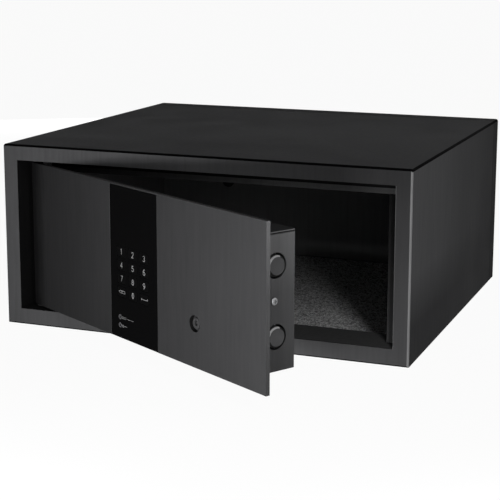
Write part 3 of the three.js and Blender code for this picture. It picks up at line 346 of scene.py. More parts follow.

# Painted light and shade along an axis: the axis, and places on it in metres with the share of the colour at
# each.
# A top starts to come in at its first height and holds from its second
# Door: painted shade, darkest at the hinge end by the jamb, paler toward the free edge
DOOR_PAINTED_SHADING = ("X", ((-0.182, 0.25), (-0.166, 0.75), (0.14, 1.2)))
# Sill: the door's painted shadow, dark at the left
SILL_PAINTED_SHADING = ("X", ((-0.14, 0.1), (-0.05, 1.0), (0.02, 1.0)))
# Lintel: painted shade, darkest at the left
LINTEL_PAINTED_SHADING = ("X", ((-0.14, 0.25), (0.08, 1.2), (0.16, 0.9)))
# Stop strips: painted shade from the top jamb, darkest high up
STOP_PAINTED_SHADING = ("Z", ((0.02, 2.2), (0.1, 0.75), (0.16, 0.4)))
# Housing: painted light, palest at the top
HOUSING_PAINTED_SHADING = ("Z", ((0.02, 0.7), (0.1, 1.0), (0.16, 2.0)))
# Frame face: painted light and shade, darker high on the right as the door's painted shadow
FRAME_PAINTED_SHADING = ("X", ((-0.2, 1.0), (0.1, 1.5), (0.2, 0.9)))
FRAME_PAINTED_SHADING_TOP = (0.03, 0.175, ((-0.2, 0.9), (-0.1, 1.0), (0.0, 1.4), (0.1, 0.8), (0.2, 0.5)))
# Right side: painted light high at the front, painted shade lower and toward the back
SIDE_PAINTED_SHADING = ("Y", ((-0.19, 0.65), (0.19, 0.7)))
SIDE_PAINTED_SHADING_TOP = (0.035, 0.085, ((-0.19, 1.45), (-0.08, 1.4), (0.19, 0.6)))

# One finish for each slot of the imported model
MATERIALS = {
    "case_paint": powder_paint("case_paint", PAINT_CASE, *CASE_SHINE),
    # The door's paint carries painted shade, darkest at its hinge end
    "door_paint": powder_paint("door_paint", PAINT_DOOR, 0.01, 0.7, DOOR_PAINTED_SHADING),
    "keypad_gloss": smooth_plastic("keypad_gloss", (0.0016, 0.0016, 0.0017), 0.5, 0.006, 1500.0, 0.03),
    "key_gloss": smooth_plastic("key_gloss", (0.0019, 0.0019, 0.002), 0.5, 0.008, 1800.0, 0.06),
    "light_pin": smooth_plastic("light_pin", (0.085, 0.085, 0.09), 0.4, 0.1),
    "bright_steel": brushed_metal("bright_steel", (0.22, 0.222, 0.227), 0.35),
    "dark_steel": dull_metal("dark_steel", (0.068, 0.068, 0.07), 0.5, 0.06),
    "zinc_steel": brushed_metal("zinc_steel", (0.42, 0.43, 0.45), 0.42, (1, 6, 1)),
    "carpet": felt("carpet", (0.1, 0.1, 0.101), (0.9, 0.9, 0.905)),
    "rubber": smooth_plastic("rubber", (0.011, 0.011, 0.011), 0.85, 0.3),
    "plastic": smooth_plastic("plastic", (0.013, 0.013, 0.0135), 0.6, 0.3),
    "board": smooth_plastic("board", (0.012, 0.1, 0.035), 0.45),
    "display": smooth_plastic("display", (0.01, 0.003, 0.003), 0.25),
    "cell_wrap": smooth_plastic("cell_wrap", (0.025, 0.07, 0.16), 0.35),
    "nylon": smooth_plastic("nylon", (0.7, 0.66, 0.56), 0.45),
    "lead": smooth_plastic("lead", (0.26, 0.013, 0.013), 0.55),
}

# Finishes for parts of pieces
PRINT = smooth_plastic("print", (0.33, 0.33, 0.335), 0.55, 0.05)
PRINT_DIM = smooth_plastic("print_dim", (0.2, 0.2, 0.203), 0.55, 0.05)
# Painted highlight on the upper part of each bolt's chamfer
CHAMFER_PAINTED_HIGHLIGHT = dull_metal("chamfer_painted_highlight", (0.4, 0.4, 0.405), 0.35, 0.05)
LENS = smooth_plastic("lens", (0.006, 0.006, 0.0065), 0.2, 0.1)
# Painted light: a paler copy of the black paint for the dim inside of the case
INSIDE_PAINTED_LIGHT = powder_paint("inside_painted_light", (0.13, 0.13, 0.132), *MATT_SHINE)
# Painted shade: near black for the jamb returns and above the lintel's lit edge
JAMB_PAINTED_SHADE = powder_paint("jamb_painted_shade", (0.007, 0.007, 0.0072), *MATT_SHINE)
# Painted shadow of the door across the sill, dark at the left
SILL_SHADED_PAINT = powder_paint("sill_shaded_paint", (0.083, 0.083, 0.084), *MATT_SHINE, SILL_PAINTED_SHADING)
# Painted shade along the lintel, darkest at the left
LINTEL_SHADED_PAINT = powder_paint("lintel_shaded_paint", (0.06, 0.06, 0.061), *MATT_SHINE, LINTEL_PAINTED_SHADING)
# Painted light and shade on the frame's face, with the door's painted shadow on its top member
FRAME_SHADED_PAINT = powder_paint("frame_shaded_paint", PAINT_CASE, *CASE_SHINE, FRAME_PAINTED_SHADING, FRAME_PAINTED_SHADING_TOP)
# Painted light and shade on the right side, palest high at the front
SIDE_SHADED_PAINT = powder_paint("side_shaded_paint", PAINT_CASE, *CASE_SHINE, SIDE_PAINTED_SHADING, SIDE_PAINTED_SHADING_TOP)
# Painted shade on the stop strips, darkest high up
STOP_SHADED_PAINT = powder_paint("stop_shaded_paint", STOP_SHADED_TONE, *MATT_SHINE, STOP_PAINTED_SHADING)
# Painted shade, darker still, on the stop strip's outer part
STOP_SHADE = powder_paint("stop_shade", tone(STOP_SHADED_TONE, 0.6), *MATT_SHINE, STOP_PAINTED_SHADING)
# Painted shade along the rounded folds and rims
FOLD_PAINTED_SHADE = powder_paint("fold_painted_shade", (0.002, 0.002, 0.0021), *BLACK_SHINE)
# Painted highlight on the frame's right upright fold
FOLD_PAINTED_HIGHLIGHT = powder_paint("fold_painted_highlight", (0.21, 0.21, 0.213), 0.03, 0.6)
# Painted light on the housing and the door's free edge, palest at the top
HOUSING_SHADED_PAINT = powder_paint("housing_shaded_paint", (0.063, 0.063, 0.0645), 0.03, 0.65, HOUSING_PAINTED_SHADING)
# Painted shade: the housing's top is darker than its sides
HOUSING_TOP_SHADED = powder_paint("housing_top_shaded", (0.02, 0.02, 0.0205), *MATT_SHINE)
LOCK_STEEL = dull_metal("lock_steel", (0.03, 0.03, 0.031), 0.5, 0.05)
LOCK_FACE = dull_metal("lock_face", (0.034, 0.034, 0.035), 0.5, 0.1)
# Painted black shade in the hole round the lock and in the lid seam
HOLE_PAINTED_SHADE = powder_paint("hole_painted_shade", (0.01, 0.01, 0.01), *BLACK_SHINE)
# Painted shade on the rest of each bolt's chamfer
BOLT_SHADE = dull_metal("bolt_shade", (0.012, 0.012, 0.012), 0.5, 0.02)

SLOT_OF = {}
for node_name, node_object in NODES.items():
    slot_name = node_object.data.materials[0].name.split(".")[0]
    SLOT_OF[node_name] = slot_name
    node_object.material_slots[0].material = MATERIALS[slot_name]
BODY_OF = {node: body for body, nodes in frame["record"]["behaviour"]["bodies"].items() for node in nodes}


# Making pieces

WELD = 0.002 * MM
FLAT = math.radians(0.5)
SMOOTH = math.radians(32)
ROUNDED = math.radians(40)

# How far edges are rounded
WRAP_EDGE = 0.6 * MM
HOUSING_EDGE = 0.45 * MM
PLATE_EDGE = 0.4 * MM
SHEET_EDGE = 0.35 * MM
SMALL_EDGE = 0.3 * MM
FASCIA_EDGE = 0.25 * MM

# How much of a face's direction lies along an axis, from all but square to it to a slight lean
SQUARE = 0.99
FOLD_SQUARE = 0.985
NEARLY_SQUARE = 0.95
MAINLY = 0.9
MOSTLY = 0.7
HALF = 0.5
RIM_LEAN = 0.35
SLIGHT_LEAN = 0.1


def piece(name, shape, material, body, matrix=None):
    """A new object from a bmesh, smooth but for its sharp edges, riding on a body."""
    mesh = bpy.data.meshes.new(name)
    if matrix is not None:
        bmesh.ops.transform(shape, matrix=matrix, verts=shape.verts)
    bmesh.ops.recalc_face_normals(shape, faces=shape.faces)
    shape.to_mesh(mesh)
    shape.free()
    mesh.shade_smooth()
    mesh.set_sharp_from_angle(angle=SMOOTH)
    item = bpy.data.objects.new(name, mesh)
    bpy.context.scene.collection.objects.link(item)
    mesh.materials.append(material)
    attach(item, body)
    return item


def round_edges(item, width, segments, by_weight):
    """Rounds the edges sharper than ROUNDED, or each edge by its own weight."""
    bevel = item.modifiers.new("rounded", "BEVEL")
    bevel.width = width
    bevel.segments = segments
    bevel.limit_method = "WEIGHT" if by_weight else "ANGLE"
    bevel.angle_limit = ROUNDED
    bevel.use_clamp_overlap = not by_weight
    bevel.miter_outer = "MITER_ARC"
    bevel.harden_normals = True


def cut_through(shape, point, way):
    """Parts the faces of a bmesh where a plane crosses them, and gives the edges that lie on the plane."""
    everything = shape.verts[:] + shape.edges[:] + shape.faces[:]
    crossed = bmesh.ops.bisect_plane(shape, geom=everything, dist=WELD, plane_co=point, plane_no=way)
    return [part for part in crossed["geom_cut"] if isinstance(part, bmesh.types.BMEdge)]


def guides_at(places, way=(0, 0, 1)):
    """Planes square to one way, for dressed. One through each hole and rib keeps the faces there whole."""
    return [(Vector(way) * place, way) for place in places]


def dressed(node, width, segments=2, share_of=None, finish=None, guides=()):
    """A copy of a node with its facets joined and its edges rounded, which stands for the node.

    share_of gives each edge's share of the full rounding from the edge's two ends. Guides are planes, each
    a point and a way, that part the flat faces where they cross them."""
    shape = bmesh.new()
    shape.from_mesh(NODES[node].data)
    bmesh.ops.remove_doubles(shape, verts=shape.verts, dist=WELD)
    for point, way in guides:
        for edge in cut_through(shape, point, way):
            edge.seam = True
    bmesh.ops.dissolve_limit(shape, angle_limit=FLAT, verts=shape.verts, edges=shape.edges, delimit={"SEAM"})
    if share_of:
        weights = shape.edges.layers.float.new("bevel_weight_edge")
        for edge in shape.edges:
            if len(edge.link_faces) == 2 and edge.calc_face_angle() > SMOOTH:
                edge[weights] = share_of(edge.verts[0].co, edge.verts[1].co)
    slot_name = SLOT_OF[node]
    item = piece(f"{node}_shape", shape, finish or MATERIALS[slot_name], BODY_OF[node])
    round_edges(item, width, segments, by_weight=share_of is not None)
    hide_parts(node)
    return item


def lathe(profile, segments=48):
    """A turned shape about Z from (radius, level) pairs. A radius of 0 closes it."""
    shape = bmesh.new()
    rings = []
    for radius, level in profile:
        if radius == 0:
            rings.append([shape.verts.new((0, 0, level))])
            continue
        turns = [2 * math.pi * i / segments for i in range(segments)]
        rings.append([shape.verts.new((radius * math.cos(t), radius * math.sin(t), level)) for t in turns])
    for lower, upper in zip(rings, rings[1:]):
        for i in range(segments):
            j = (i + 1) % segments
            corners = [lower[i % len(lower)], lower[j % len(lower)],
                       upper[j % len(upper)], upper[i % len(upper)]]
            unique = list(dict.fromkeys(corners))
            if len(unique) > 2:
                shape.faces.new(unique)
    return shape


def rounded_rim(radius, level, rounding, steps=4):
    """Points of a profile's rounded corner, from its widest to its highest."""
    points = []
    for i in range(steps + 1):
        turn = math.radians(90 * i / steps)
        across = radius - rounding + rounding * math.cos(turn)
        points.append((across, level - rounding + rounding * math.sin(turn)))
    return points


def applied(item):
    """The object with its modifiers made part of its mesh."""
    bpy.context.view_layer.update()
    evaluated = item.evaluated_get(bpy.context.evaluated_depsgraph_get())
    mesh = bpy.data.meshes.new_from_object(evaluated)
    item.modifiers.clear()
    item.data = mesh
    return item


def painted(item, pick):
    """Gives each face the finish that pick names from the face's middle and direction, where it names one."""
    if item.modifiers:
        applied(item)
    finishes = list(item.data.materials)
    for face in item.data.polygons:
        finish = pick(face.center, face.normal) or finishes[0]
        if finish not in finishes:
            finishes.append(finish)
            item.data.materials.append(finish)
        face.material_index = finishes.index(finish)


def carve_block(item, low, high, matrix):
    """Cuts the block between two corners, placed by a matrix, out of an object."""
    shape = bmesh.new()
    bmesh.ops.create_cube(shape, size=1)
    bmesh.ops.scale(shape, vec=Vector(high) - Vector(low), verts=shape.verts)
    bmesh.ops.translate(shape, vec=middle_of(Vector(low), Vector(high)), verts=shape.verts)
    bmesh.ops.transform(shape, matrix=matrix, verts=shape.verts)
    bmesh.ops.recalc_face_normals(shape, faces=shape.faces)
    mesh = bpy.data.meshes.new("cutter")
    shape.to_mesh(mesh)
    shape.free()
    cutter = bpy.data.objects.new("cutter", mesh)
    bpy.context.scene.collection.objects.link(cutter)
    cut = item.modifiers.new("cut", "BOOLEAN")
    cut.object = cutter
    cut.operation = "DIFFERENCE"
    cut.solver = "EXACT"
    applied(item)
    bpy.data.objects.remove(cutter)
    item.data.shade_smooth()
    item.data.set_sharp_from_angle(angle=SMOOTH)


# Case

case_low, case_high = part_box("casing_wrap")
frame_low, frame_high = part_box("front_frame")
side_stop_low, side_stop_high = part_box("stop_strip_side")
top_stop_low, top_stop_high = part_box("stop_strip_top")
sheet = case_low.y - frame_low.y
OPENING_RIGHT = side_stop_high.x
OPENING_TOP = top_stop_high.z
OPENING_BOTTOM = side_stop_low.z

# The rounding of the frame's folded outline, its share at the foot and on cut edges, and how near to the
# opening the edges are cut ones
FOLD_ROUNDING = 1.9 * MM
FOLD_SEGMENTS = 4
BOTTOM_FOLD_SHARE = 0.8
CUT_SHARE = 0.18
CUT_REACH = 3 * MM

GUIDE_OUTSIDE = 4 * MM
FRAME_GUIDES = [
    *guides_at([OPENING_RIGHT + GUIDE_OUTSIDE, -OPENING_RIGHT - GUIDE_OUTSIDE], (1, 0, 0)),
    *guides_at([OPENING_TOP + GUIDE_OUTSIDE, OPENING_BOTTOM - GUIDE_OUTSIDE]),
]


def outside_opening(point):
    """How far a point lies outside the opening, seen from the front."""
    return max(abs(point.x) - OPENING_RIGHT, point.z - OPENING_TOP, OPENING_BOTTOM - point.z)


def front_fold_share(a, b):
    """The outline of the front face is folded, the edges round the opening are cut, and the rest is sharp."""
    if max(abs(a.y - frame_low.y), abs(b.y - frame_low.y)) >= WELD:
        return 0.0
    if min(outside_opening(a), outside_opening(b)) < CUT_REACH:
        return CUT_SHARE
    return BOTTOM_FOLD_SHARE if max(a.z, b.z) < frame_low.z + WELD else 1.0


def frame_finish(middle, direction):
    """Painted black shade in the opening but for the sill, which has the door's painted shadow; painted shade
    where the face folds back at the top and bottom, and a painted highlight on one upright."""
    in_opening = outside_opening(middle) < WELD
    if middle.y > frame_low.y + sheet or (in_opening and direction.y > -HALF):
        return SILL_SHADED_PAINT if direction.z > MOSTLY else JAMB_PAINTED_SHADE
    if abs(direction.y) > SQUARE or in_opening:
        return None
    if abs(direction.z) > SLIGHT_LEAN:
        return FOLD_PAINTED_SHADE
    return FOLD_PAINTED_HIGHLIGHT if middle.x > 0 and direction.y < -SLIGHT_LEAN else None


def wrap_finish(middle, direction):
    """Painted paler inside as painted light, painted shade along the folds and the rims, and painted light
    and shade on the right side.
    """
    inside = abs(middle.x) < case_high.x - sheet / 2 and middle.z < case_high.z - sheet / 2
    if inside and direction.y < HALF:
        return INSIDE_PAINTED_LIGHT
    lean = abs(direction.y)
    on_fold = lean < SLIGHT_LEAN and abs(direction.x) < FOLD_SQUARE and abs(direction.z) < NEARLY_SQUARE
    on_rim = lean > RIM_LEAN and max(abs(part) for part in direction) < NEARLY_SQUARE
    if on_fold or on_rim:
        return FOLD_PAINTED_SHADE
    return SIDE_SHADED_PAINT if direction.x > MAINLY else None


SEAM_FROM_BACK = (13 * MM, 22 * MM)
SEAM_WIDTH = 3.2 * MM
SEAM_DEPTH = 0.5 * MM
SEAM_SMOOTH = math.radians(15)


def pressed_seams(item):
    """Two shallow creases round the wrap near its back, where it is lapped over the back panel."""
    shape = bmesh.new()
    shape.from_mesh(item.data)
    for distance in SEAM_FROM_BACK:
        seam = case_high.y - distance
        for step in (-1, 0, 1):
            cut_through(shape, (0, seam + step * SEAM_WIDTH / 2, 0), (0, 1, 0))
        for vertex in shape.verts:
            x, y, z = vertex.co
            on_skin = abs(x) > case_high.x - sheet / 2 or z > case_high.z - sheet / 2
            if not on_skin or abs(y - seam) >= WELD:
                continue
            if abs(x) > case_high.x - 2 * sheet:
                vertex.co.x -= math.copysign(SEAM_DEPTH, x)
            if z > case_high.z - 2 * sheet:
                vertex.co.z -= SEAM_DEPTH
    shape.to_mesh(item.data)
    shape.free()
    item.data.shade_smooth()
    item.data.set_sharp_from_angle(angle=SEAM_SMOOTH)
    return item


LINTEL_LIT = 5.4 * MM
LINTEL_SHADE_FROM = top_stop_low.z + LINTEL_LIT
STOP_LIT = 2.4 * MM
STOP_SHADE_FROM = side_stop_low.x + STOP_LIT


def lintel_finish(middle, direction):
    """Painted black shade above its lower edge."""
    return JAMB_PAINTED_SHADE if middle.z > LINTEL_SHADE_FROM else None


def stop_finish(middle, direction):
    """Painted shade, darker but for the edge that faces across the opening."""
    return STOP_SHADE if middle.x > STOP_SHADE_FROM else None


def back_finish(middle, direction):
    """Painted paler, as painted light, on the side that faces into the case."""
    return INSIDE_PAINTED_LIGHT if direction.y < -HALF else None


def base_finish(middle, direction):
    """Painted paler, as painted light, on its upper side."""
    return INSIDE_PAINTED_LIGHT if direction.z > HALF else None


folded = dressed("front_frame", FOLD_ROUNDING, FOLD_SEGMENTS, front_fold_share, FRAME_SHADED_PAINT, FRAME_GUIDES)
painted(folded, frame_finish)
painted(pressed_seams(applied(dressed("casing_wrap", WRAP_EDGE))), wrap_finish)
painted(dressed("back_panel", SHEET_EDGE), back_finish)
painted(dressed("base_plate", SHEET_EDGE), base_finish)
lintel_guides = guides_at([LINTEL_SHADE_FROM])
painted(dressed("stop_strip_top", SHEET_EDGE, finish=LINTEL_SHADED_PAINT, guides=lintel_guides), lintel_finish)
stop_guides = guides_at([STOP_SHADE_FROM], (1, 0, 0))
painted(dressed("stop_strip_side", SHEET_EDGE, finish=STOP_SHADED_PAINT, guides=stop_guides), stop_finish)


# Carpet on the case floor

mat_low, mat_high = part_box("floor_mat")
plug_boxes = [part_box("base_plug_left"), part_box("base_plug_right")]
MAT_STEP = 2.5 * MM
MAT_NOTCH_FROM_SIDE = 17 * MM
MAT_NOTCH_DEPTH = 5 * MM
MAT_BELOW_TOP = 0.4 * MM
MAT_EDGE_DROP = 0.5 * MM
MAT_PLUG_HOLLOW = 2.0 * MM

# How far the felt strays from flat and straight, and the scale of the noise that it follows
FRAY = 0.35 * MM
FRAY_SCALE = 300
SWELL = 0.3 * MM
SWELL_SCALE = 140
RIPPLE = 0.25 * MM
RIPPLE_SCALE = 420


def carpet():
    """A slab of felt with an uneven top, a slightly ragged front edge and hollows over the plugs below."""
    columns = round((mat_high.x - mat_low.x) / MAT_STEP)
    rows = round((mat_high.y - mat_low.y) / MAT_STEP)
    notch_x = frame_high.x - MAT_NOTCH_FROM_SIDE
    notch_y = mat_low.y + MAT_NOTCH_DEPTH
    shape = bmesh.new()
    top = {}
    bottom = {}

    def place_at(i, j):
        x = mat_low.x + i * (mat_high.x - mat_low.x) / columns
        y = mat_low.y + j * (mat_high.y - mat_low.y) / rows
        return x, y

    def kept(i, j):
        x, y = place_at(i + 0.5, j + 0.5)
        return abs(x) < notch_x or y > notch_y

    def corner(i, j):
        if (i, j) in top:
            return
        x, y = place_at(i, j)
        inner = 0 < i < columns and 0 < j < rows
        fray = FRAY * noise.noise(Vector((x * FRAY_SCALE, 0.0, 1.0))) if j == 0 else 0.0
        lift = SWELL * noise.noise(Vector((x * SWELL_SCALE, y * SWELL_SCALE, 3.0)))
        lift += RIPPLE * noise.noise(Vector((x * RIPPLE_SCALE, y * RIPPLE_SCALE, 7.0)))
        edge_drop = 0.0 if inner else MAT_EDGE_DROP
        over_plug = any(low.x < x < high.x and low.y < y < high.y for low, high in plug_boxes)
        under = mat_low.z + (MAT_PLUG_HOLLOW if over_plug else 0.0)
        top[i, j] = shape.verts.new((x, y + fray, mat_high.z - MAT_BELOW_TOP - edge_drop + lift))
        bottom[i, j] = shape.verts.new((x, y + fray, under))

    cells = [(i, j) for i in range(columns) for j in range(rows) if kept(i, j)]
    inside = set(cells)
    for i, j in cells:
        ring = [(i, j), (i + 1, j), (i + 1, j + 1), (i, j + 1)]
        for key in ring:
            corner(*key)
        shape.faces.new([top[key] for key in ring])
        shape.faces.new([bottom[key] for key in reversed(ring)])
        sides = [((i, j - 1), ring[0], ring[1]), ((i + 1, j), ring[1], ring[2]),
                 ((i, j + 1), ring[2], ring[3]), ((i - 1, j), ring[3], ring[0])]
        for neighbour, a, b in sides:
            if neighbour not in inside:
                shape.faces.new([top[b], top[a], bottom[a], bottom[b]])
    item = piece("carpet", shape, MATERIALS["carpet"], "root")
    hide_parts("floor_mat")
    return item


FIBRES = 9000
FIBRE_SEED = 7
EDGE_FIBRE_EVERY = 6
EDGE_FIBRE_REACH = 1.5 * MM
FIBRE_MARGIN = 3 * MM
FIBRE_SIDE_MARGIN = 0.03
FIBRE_ROOT = 0.7 * MM
FIBRE_LIFT = 0.4 * MM
FIBRE_TIP_RISE = 0.4

# The shortest and longest fibre, their rise and their width, in millimetres
FIBRE_LENGTHS = (1.2, 3.2)
FIBRE_RISES = (0.1, 0.9)
FIBRE_WIDTHS = (0.08, 0.16)


def carpet_pile():
    """Loose fibres that stand and lie on the felt, thickest along its front edge."""
    draw = random.Random(FIBRE_SEED)
    shape = bmesh.new()
    span_x = mat_high.x - mat_low.x
    span_y = mat_high.y - mat_low.y
    for index in range(FIBRES):
        x = mat_low.x + span_x * (FIBRE_SIDE_MARGIN + (1 - 2 * FIBRE_SIDE_MARGIN) * draw.random())
        if index % EDGE_FIBRE_EVERY == 0:
            y = mat_low.y + draw.random() * EDGE_FIBRE_REACH
        else:
            y = mat_low.y + FIBRE_MARGIN + (span_y - 2 * FIBRE_MARGIN) * draw.random()
        heading = draw.uniform(0, 2 * math.pi)
        length = draw.uniform(*FIBRE_LENGTHS) * MM
        rise = draw.uniform(*FIBRE_RISES) * MM
        width = draw.uniform(*FIBRE_WIDTHS) * MM
        along = Vector((math.cos(heading), math.sin(heading), 0))
        across = Vector((-along.y, along.x, 0)) * width
        start = Vector((x, y, mat_high.z - FIBRE_ROOT))
        middle = start + along * length / 2 + Vector((0, 0, FIBRE_LIFT + rise))
        end = start + along * length + Vector((0, 0, FIBRE_LIFT + rise * FIBRE_TIP_RISE))
        a = shape.verts.new(start - across)
        b = shape.verts.new(start + across)
        c = shape.verts.new(middle + across)
        d = shape.verts.new(middle - across)
        e = shape.verts.new(end)
        shape.faces.new([a, b, c, d])
        shape.faces.new([d, c, e])
    return piece("carpet_fibres", shape, MATERIALS["carpet"], "root")


mat_piece = carpet()
fibres = carpet_pile()


# Door, keypad and housing

DOOR_TURN = DOOR.to_3x3()
FREE_EDGE_WAY = DOOR_TURN @ Vector((1, 0, 0))
FACE_WAY = DOOR_TURN @ Vector((0, -1, 0))
LOCK_MIDDLE = middle_of(*shut_box("override_plug"))
LOCK_REACH = 12 * MM


def door_finish(middle, direction):
    """The cut edge at the free end takes the housing's paint with its painted light, and the wall of the hole
    round the lock is painted black shade.
    """
    place = SHUT @ middle - LOCK_MIDDLE
    if math.hypot(place.x, place.z) < LOCK_REACH and abs(direction.dot(FACE_WAY)) < MAINLY:
        return HOLE_PAINTED_SHADE
    return HOUSING_SHADED_PAINT if direction.dot(FREE_EDGE_WAY) > MAINLY else None


def levels_of(*nodes):
    """The height of the middle of each door node."""
    return [middle_of(*shut_box(node)).z for node in nodes]


# A band below the housing's top is painted black as the shade of a lid seam; the shape has no gap there
LID_THICKNESS = 1.0 * MM
LID_SEAM = 1.1 * MM
LID_SEAM_TOP = shut_box("lock_housing")[1].z - LID_THICKNESS
LID_SEAM_BOTTOM = LID_SEAM_TOP - LID_SEAM
RAIL_FROM_COVER = 0.9 * MM
cover_low, cover_high = shut_box("battery_cover")
HOUSING_GUIDES = guides_at([
    LID_SEAM_TOP, LID_SEAM_BOTTOM, cover_high.z + RAIL_FROM_COVER, cover_low.z - RAIL_FROM_COVER,
    *levels_of("battery_cover", "housing_screw_1", "housing_screw_3", "bolt_upper", "bolt_lower")])
FASCIA_GUIDES = guides_at(levels_of("key_1", "key_4", "key_7", "key_0", "light_pin_upper", "light_pin_lower"))


def housing_finish(middle, direction):
    """The lid's top is painted darker than the sides as painted shade, and a band where the lid's seam lies
    is painted black shade.
    """
    if direction.z > NEARLY_SQUARE and middle.z > LID_SEAM_TOP:
        return HOUSING_TOP_SHADED
    return HOLE_PAINTED_SHADE if LID_SEAM_BOTTOM < middle.z < LID_SEAM_TOP and abs(direction.z) < HALF else None


painted(dressed("door_plate", PLATE_EDGE), door_finish)
dressed("hinge_leaf", PLATE_EDGE)
painted(dressed("lock_housing", HOUSING_EDGE, finish=HOUSING_SHADED_PAINT, guides=HOUSING_GUIDES), housing_finish)
dressed("keypad_fascia", FASCIA_EDGE, guides=FASCIA_GUIDES)
dressed("battery_cover", SMALL_EDGE, guides=guides_at(levels_of("battery_cover")))
dressed("override_lock_body", SMALL_EDGE, finish=LOCK_STEEL)
for node in ("battery_tray", "hinge_rod", "hinge_bush_lower", "hinge_bush_upper"):
    dressed(node, SMALL_EDGE)
KEYS = ["1", "2", "3", "4", "5", "6", "7", "8", "9", "clear", "0", "enter"]
for key in KEYS:
    dressed(f"key_{key}", SMALL_EDGE)


# Turned parts

def turned(node, profile, axes, finish=None):
    """A turned piece that stands for a node. Its levels start at 0 and run the way that the axes face."""
    on_door = BODY_OF[node] != "root"
    low, high = shut_box(node) if on_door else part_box(node)
    start = middle_of(low, high)
    way = way_of(axes)
    for i in range(3):
        if abs(way[i]) > HALF:
            start[i] = low[i] if way[i] > 0 else high[i]
    matrix = Matrix.Translation(start) @ axes
    if on_door:
        matrix = DOOR @ matrix
    slot_name = SLOT_OF[node]
    finish = finish or MATERIALS[slot_name]
    item = piece(f"{node}_turned", lathe(profile), finish, BODY_OF[node], matrix)
    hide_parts(node)
    return item, matrix


SCREW_SHANK = 1.5 * MM
SCREW_TIP = 0.5 * MM
SCREW_TIP_SHARE = 0.7
SCREW_HEAD = 3.4 * MM
SCREW_HEAD_HEIGHT = 1.8 * MM
SCREW_CHAMFER = 0.15 * MM
SCREW_RIM = 0.5 * MM
DOME_STEPS = 6
CROSS_LENGTH = 3.9 * MM
CROSS_WIDTH = 0.75 * MM
CROSS_DEPTH = 1.1 * MM
CUT_BEYOND = 1 * MM


def screw(node, axes):
    """A round-headed screw with a cross recess."""
    low, high = shut_box(node)
    length = abs((high - low).dot(way_of(axes)))
    seat = length - SCREW_HEAD_HEIGHT
    dome_foot = seat + SCREW_RIM
    dome_height = SCREW_HEAD_HEIGHT - SCREW_RIM
    turns = [math.radians(90 * i / DOME_STEPS) for i in range(DOME_STEPS)]
    dome = [(SCREW_HEAD * math.cos(turn), dome_foot + dome_height * math.sin(turn)) for turn in turns]
    profile = [(0, 0), (SCREW_SHANK * SCREW_TIP_SHARE, 0), (SCREW_SHANK, SCREW_TIP), (SCREW_SHANK, seat),
               (SCREW_HEAD - SCREW_CHAMFER, seat), (SCREW_HEAD, seat + SCREW_CHAMFER), *dome, (0, length)]
    item, matrix = turned(node, profile, axes)
    for x, y in ((CROSS_LENGTH / 2, CROSS_WIDTH / 2), (CROSS_WIDTH / 2, CROSS_LENGTH / 2)):
        carve_block(item, (-x, -y, length - CROSS_DEPTH), (x, y, length + CUT_BEYOND), matrix)


screw("side_screw", ALONG_X)
for i in range(4):
    screw(f"housing_screw_{i + 1}", ALONG_Y)

BOLT_CHAMFER = 1.3 * MM
BOLT_EDGE = 0.1 * MM
BOLT_LIP = 0.2 * MM
BOLT_DISH = 0.06 * MM
DISH_MIDDLE = 0.55
DISH_INNER = 0.3

# Where the chamfer has its painted highlight, as shares of the radius of its flat end
HIGHLIGHT_FROM = -0.2
HIGHLIGHT_TO = 0.4


def bolt(node):
    """A round bolt with a chamfered tip, with a painted highlight on part of the chamfer and painted shade on
    the rest, and a faint turned dish in its end.
    """
    low, high = shut_box(node)
    length = high.x - low.x
    radius = (high.z - low.z) / 2
    flat = radius - BOLT_CHAMFER
    shoulder = length - BOLT_CHAMFER
    profile = [(0, 0), (flat, 0), (radius, BOLT_CHAMFER), (radius, shoulder - BOLT_EDGE),
               (radius - BOLT_EDGE, shoulder), (flat, length - 2 * BOLT_DISH), (flat - BOLT_LIP, length),
               (flat * DISH_MIDDLE, length - BOLT_DISH), (flat * DISH_INNER, length - BOLT_DISH / 3),
               (0, length)]
    item, _ = turned(node, profile, ALONG_X)
    centre = middle_of(low, high)

    def finish(middle, direction):
        place = SHUT @ middle - centre
        if place.x < length / 2 - BOLT_CHAMFER or math.hypot(place.y, place.z) < flat:
            return None
        # The upper part of the chamfer gets a painted highlight, the rest painted shade
        highlit = place.z > max(place.y, flat * HIGHLIGHT_FROM) and place.y < flat * HIGHLIGHT_TO
        return CHAMFER_PAINTED_HIGHLIGHT if highlit else BOLT_SHADE

    painted(item, finish)


bolt("bolt_upper")
bolt("bolt_lower")

PIN_CHAMFER = 0.25 * MM
PIN_RIM = 1.55 * MM
PIN_RIM_CHAMFER = 0.15 * MM

# The lens from its rim to its middle: shares of its radius, and how deep it lies there
LENS_CURVE = ((1, 0.35 * MM), (0.6, 0.2 * MM), (0, 0.15 * MM))


def light_pin(node):
    """A light guide with a paler raised rim round a dark lens."""
    low, high = shut_box(node)
    length = high.y - low.y
    radius = (high.x - low.x) / 2
    lens = [(PIN_RIM * share, length - depth) for share, depth in LENS_CURVE]
    profile = [(0, 0), (radius, 0), (radius, length - PIN_CHAMFER), (radius - PIN_CHAMFER, length),
               (PIN_RIM + PIN_RIM_CHAMFER, length), *lens]
    item, matrix = turned(node, profile, FACING_FRONT)
    back = matrix.inverted()

    def finish(middle, direction):
        return LENS if (back @ middle).xy.length < PIN_RIM else None

    painted(item, finish)


light_pin("light_pin_upper")
light_pin("light_pin_lower")

LOCK_ROUNDING = 0.5 * MM
KEYWAY = 2.1 * MM
KEYWAY_CHAMFER = 0.3 * MM
KEYWAY_DEPTH = 3 * MM
KEYWAY_NOTCH = 1 * MM
POST = 1.1 * MM
POST_BELOW = 1 * MM
POST_CHAMFER = 0.25 * MM
POST_CHAMFER_DEPTH = 0.3 * MM


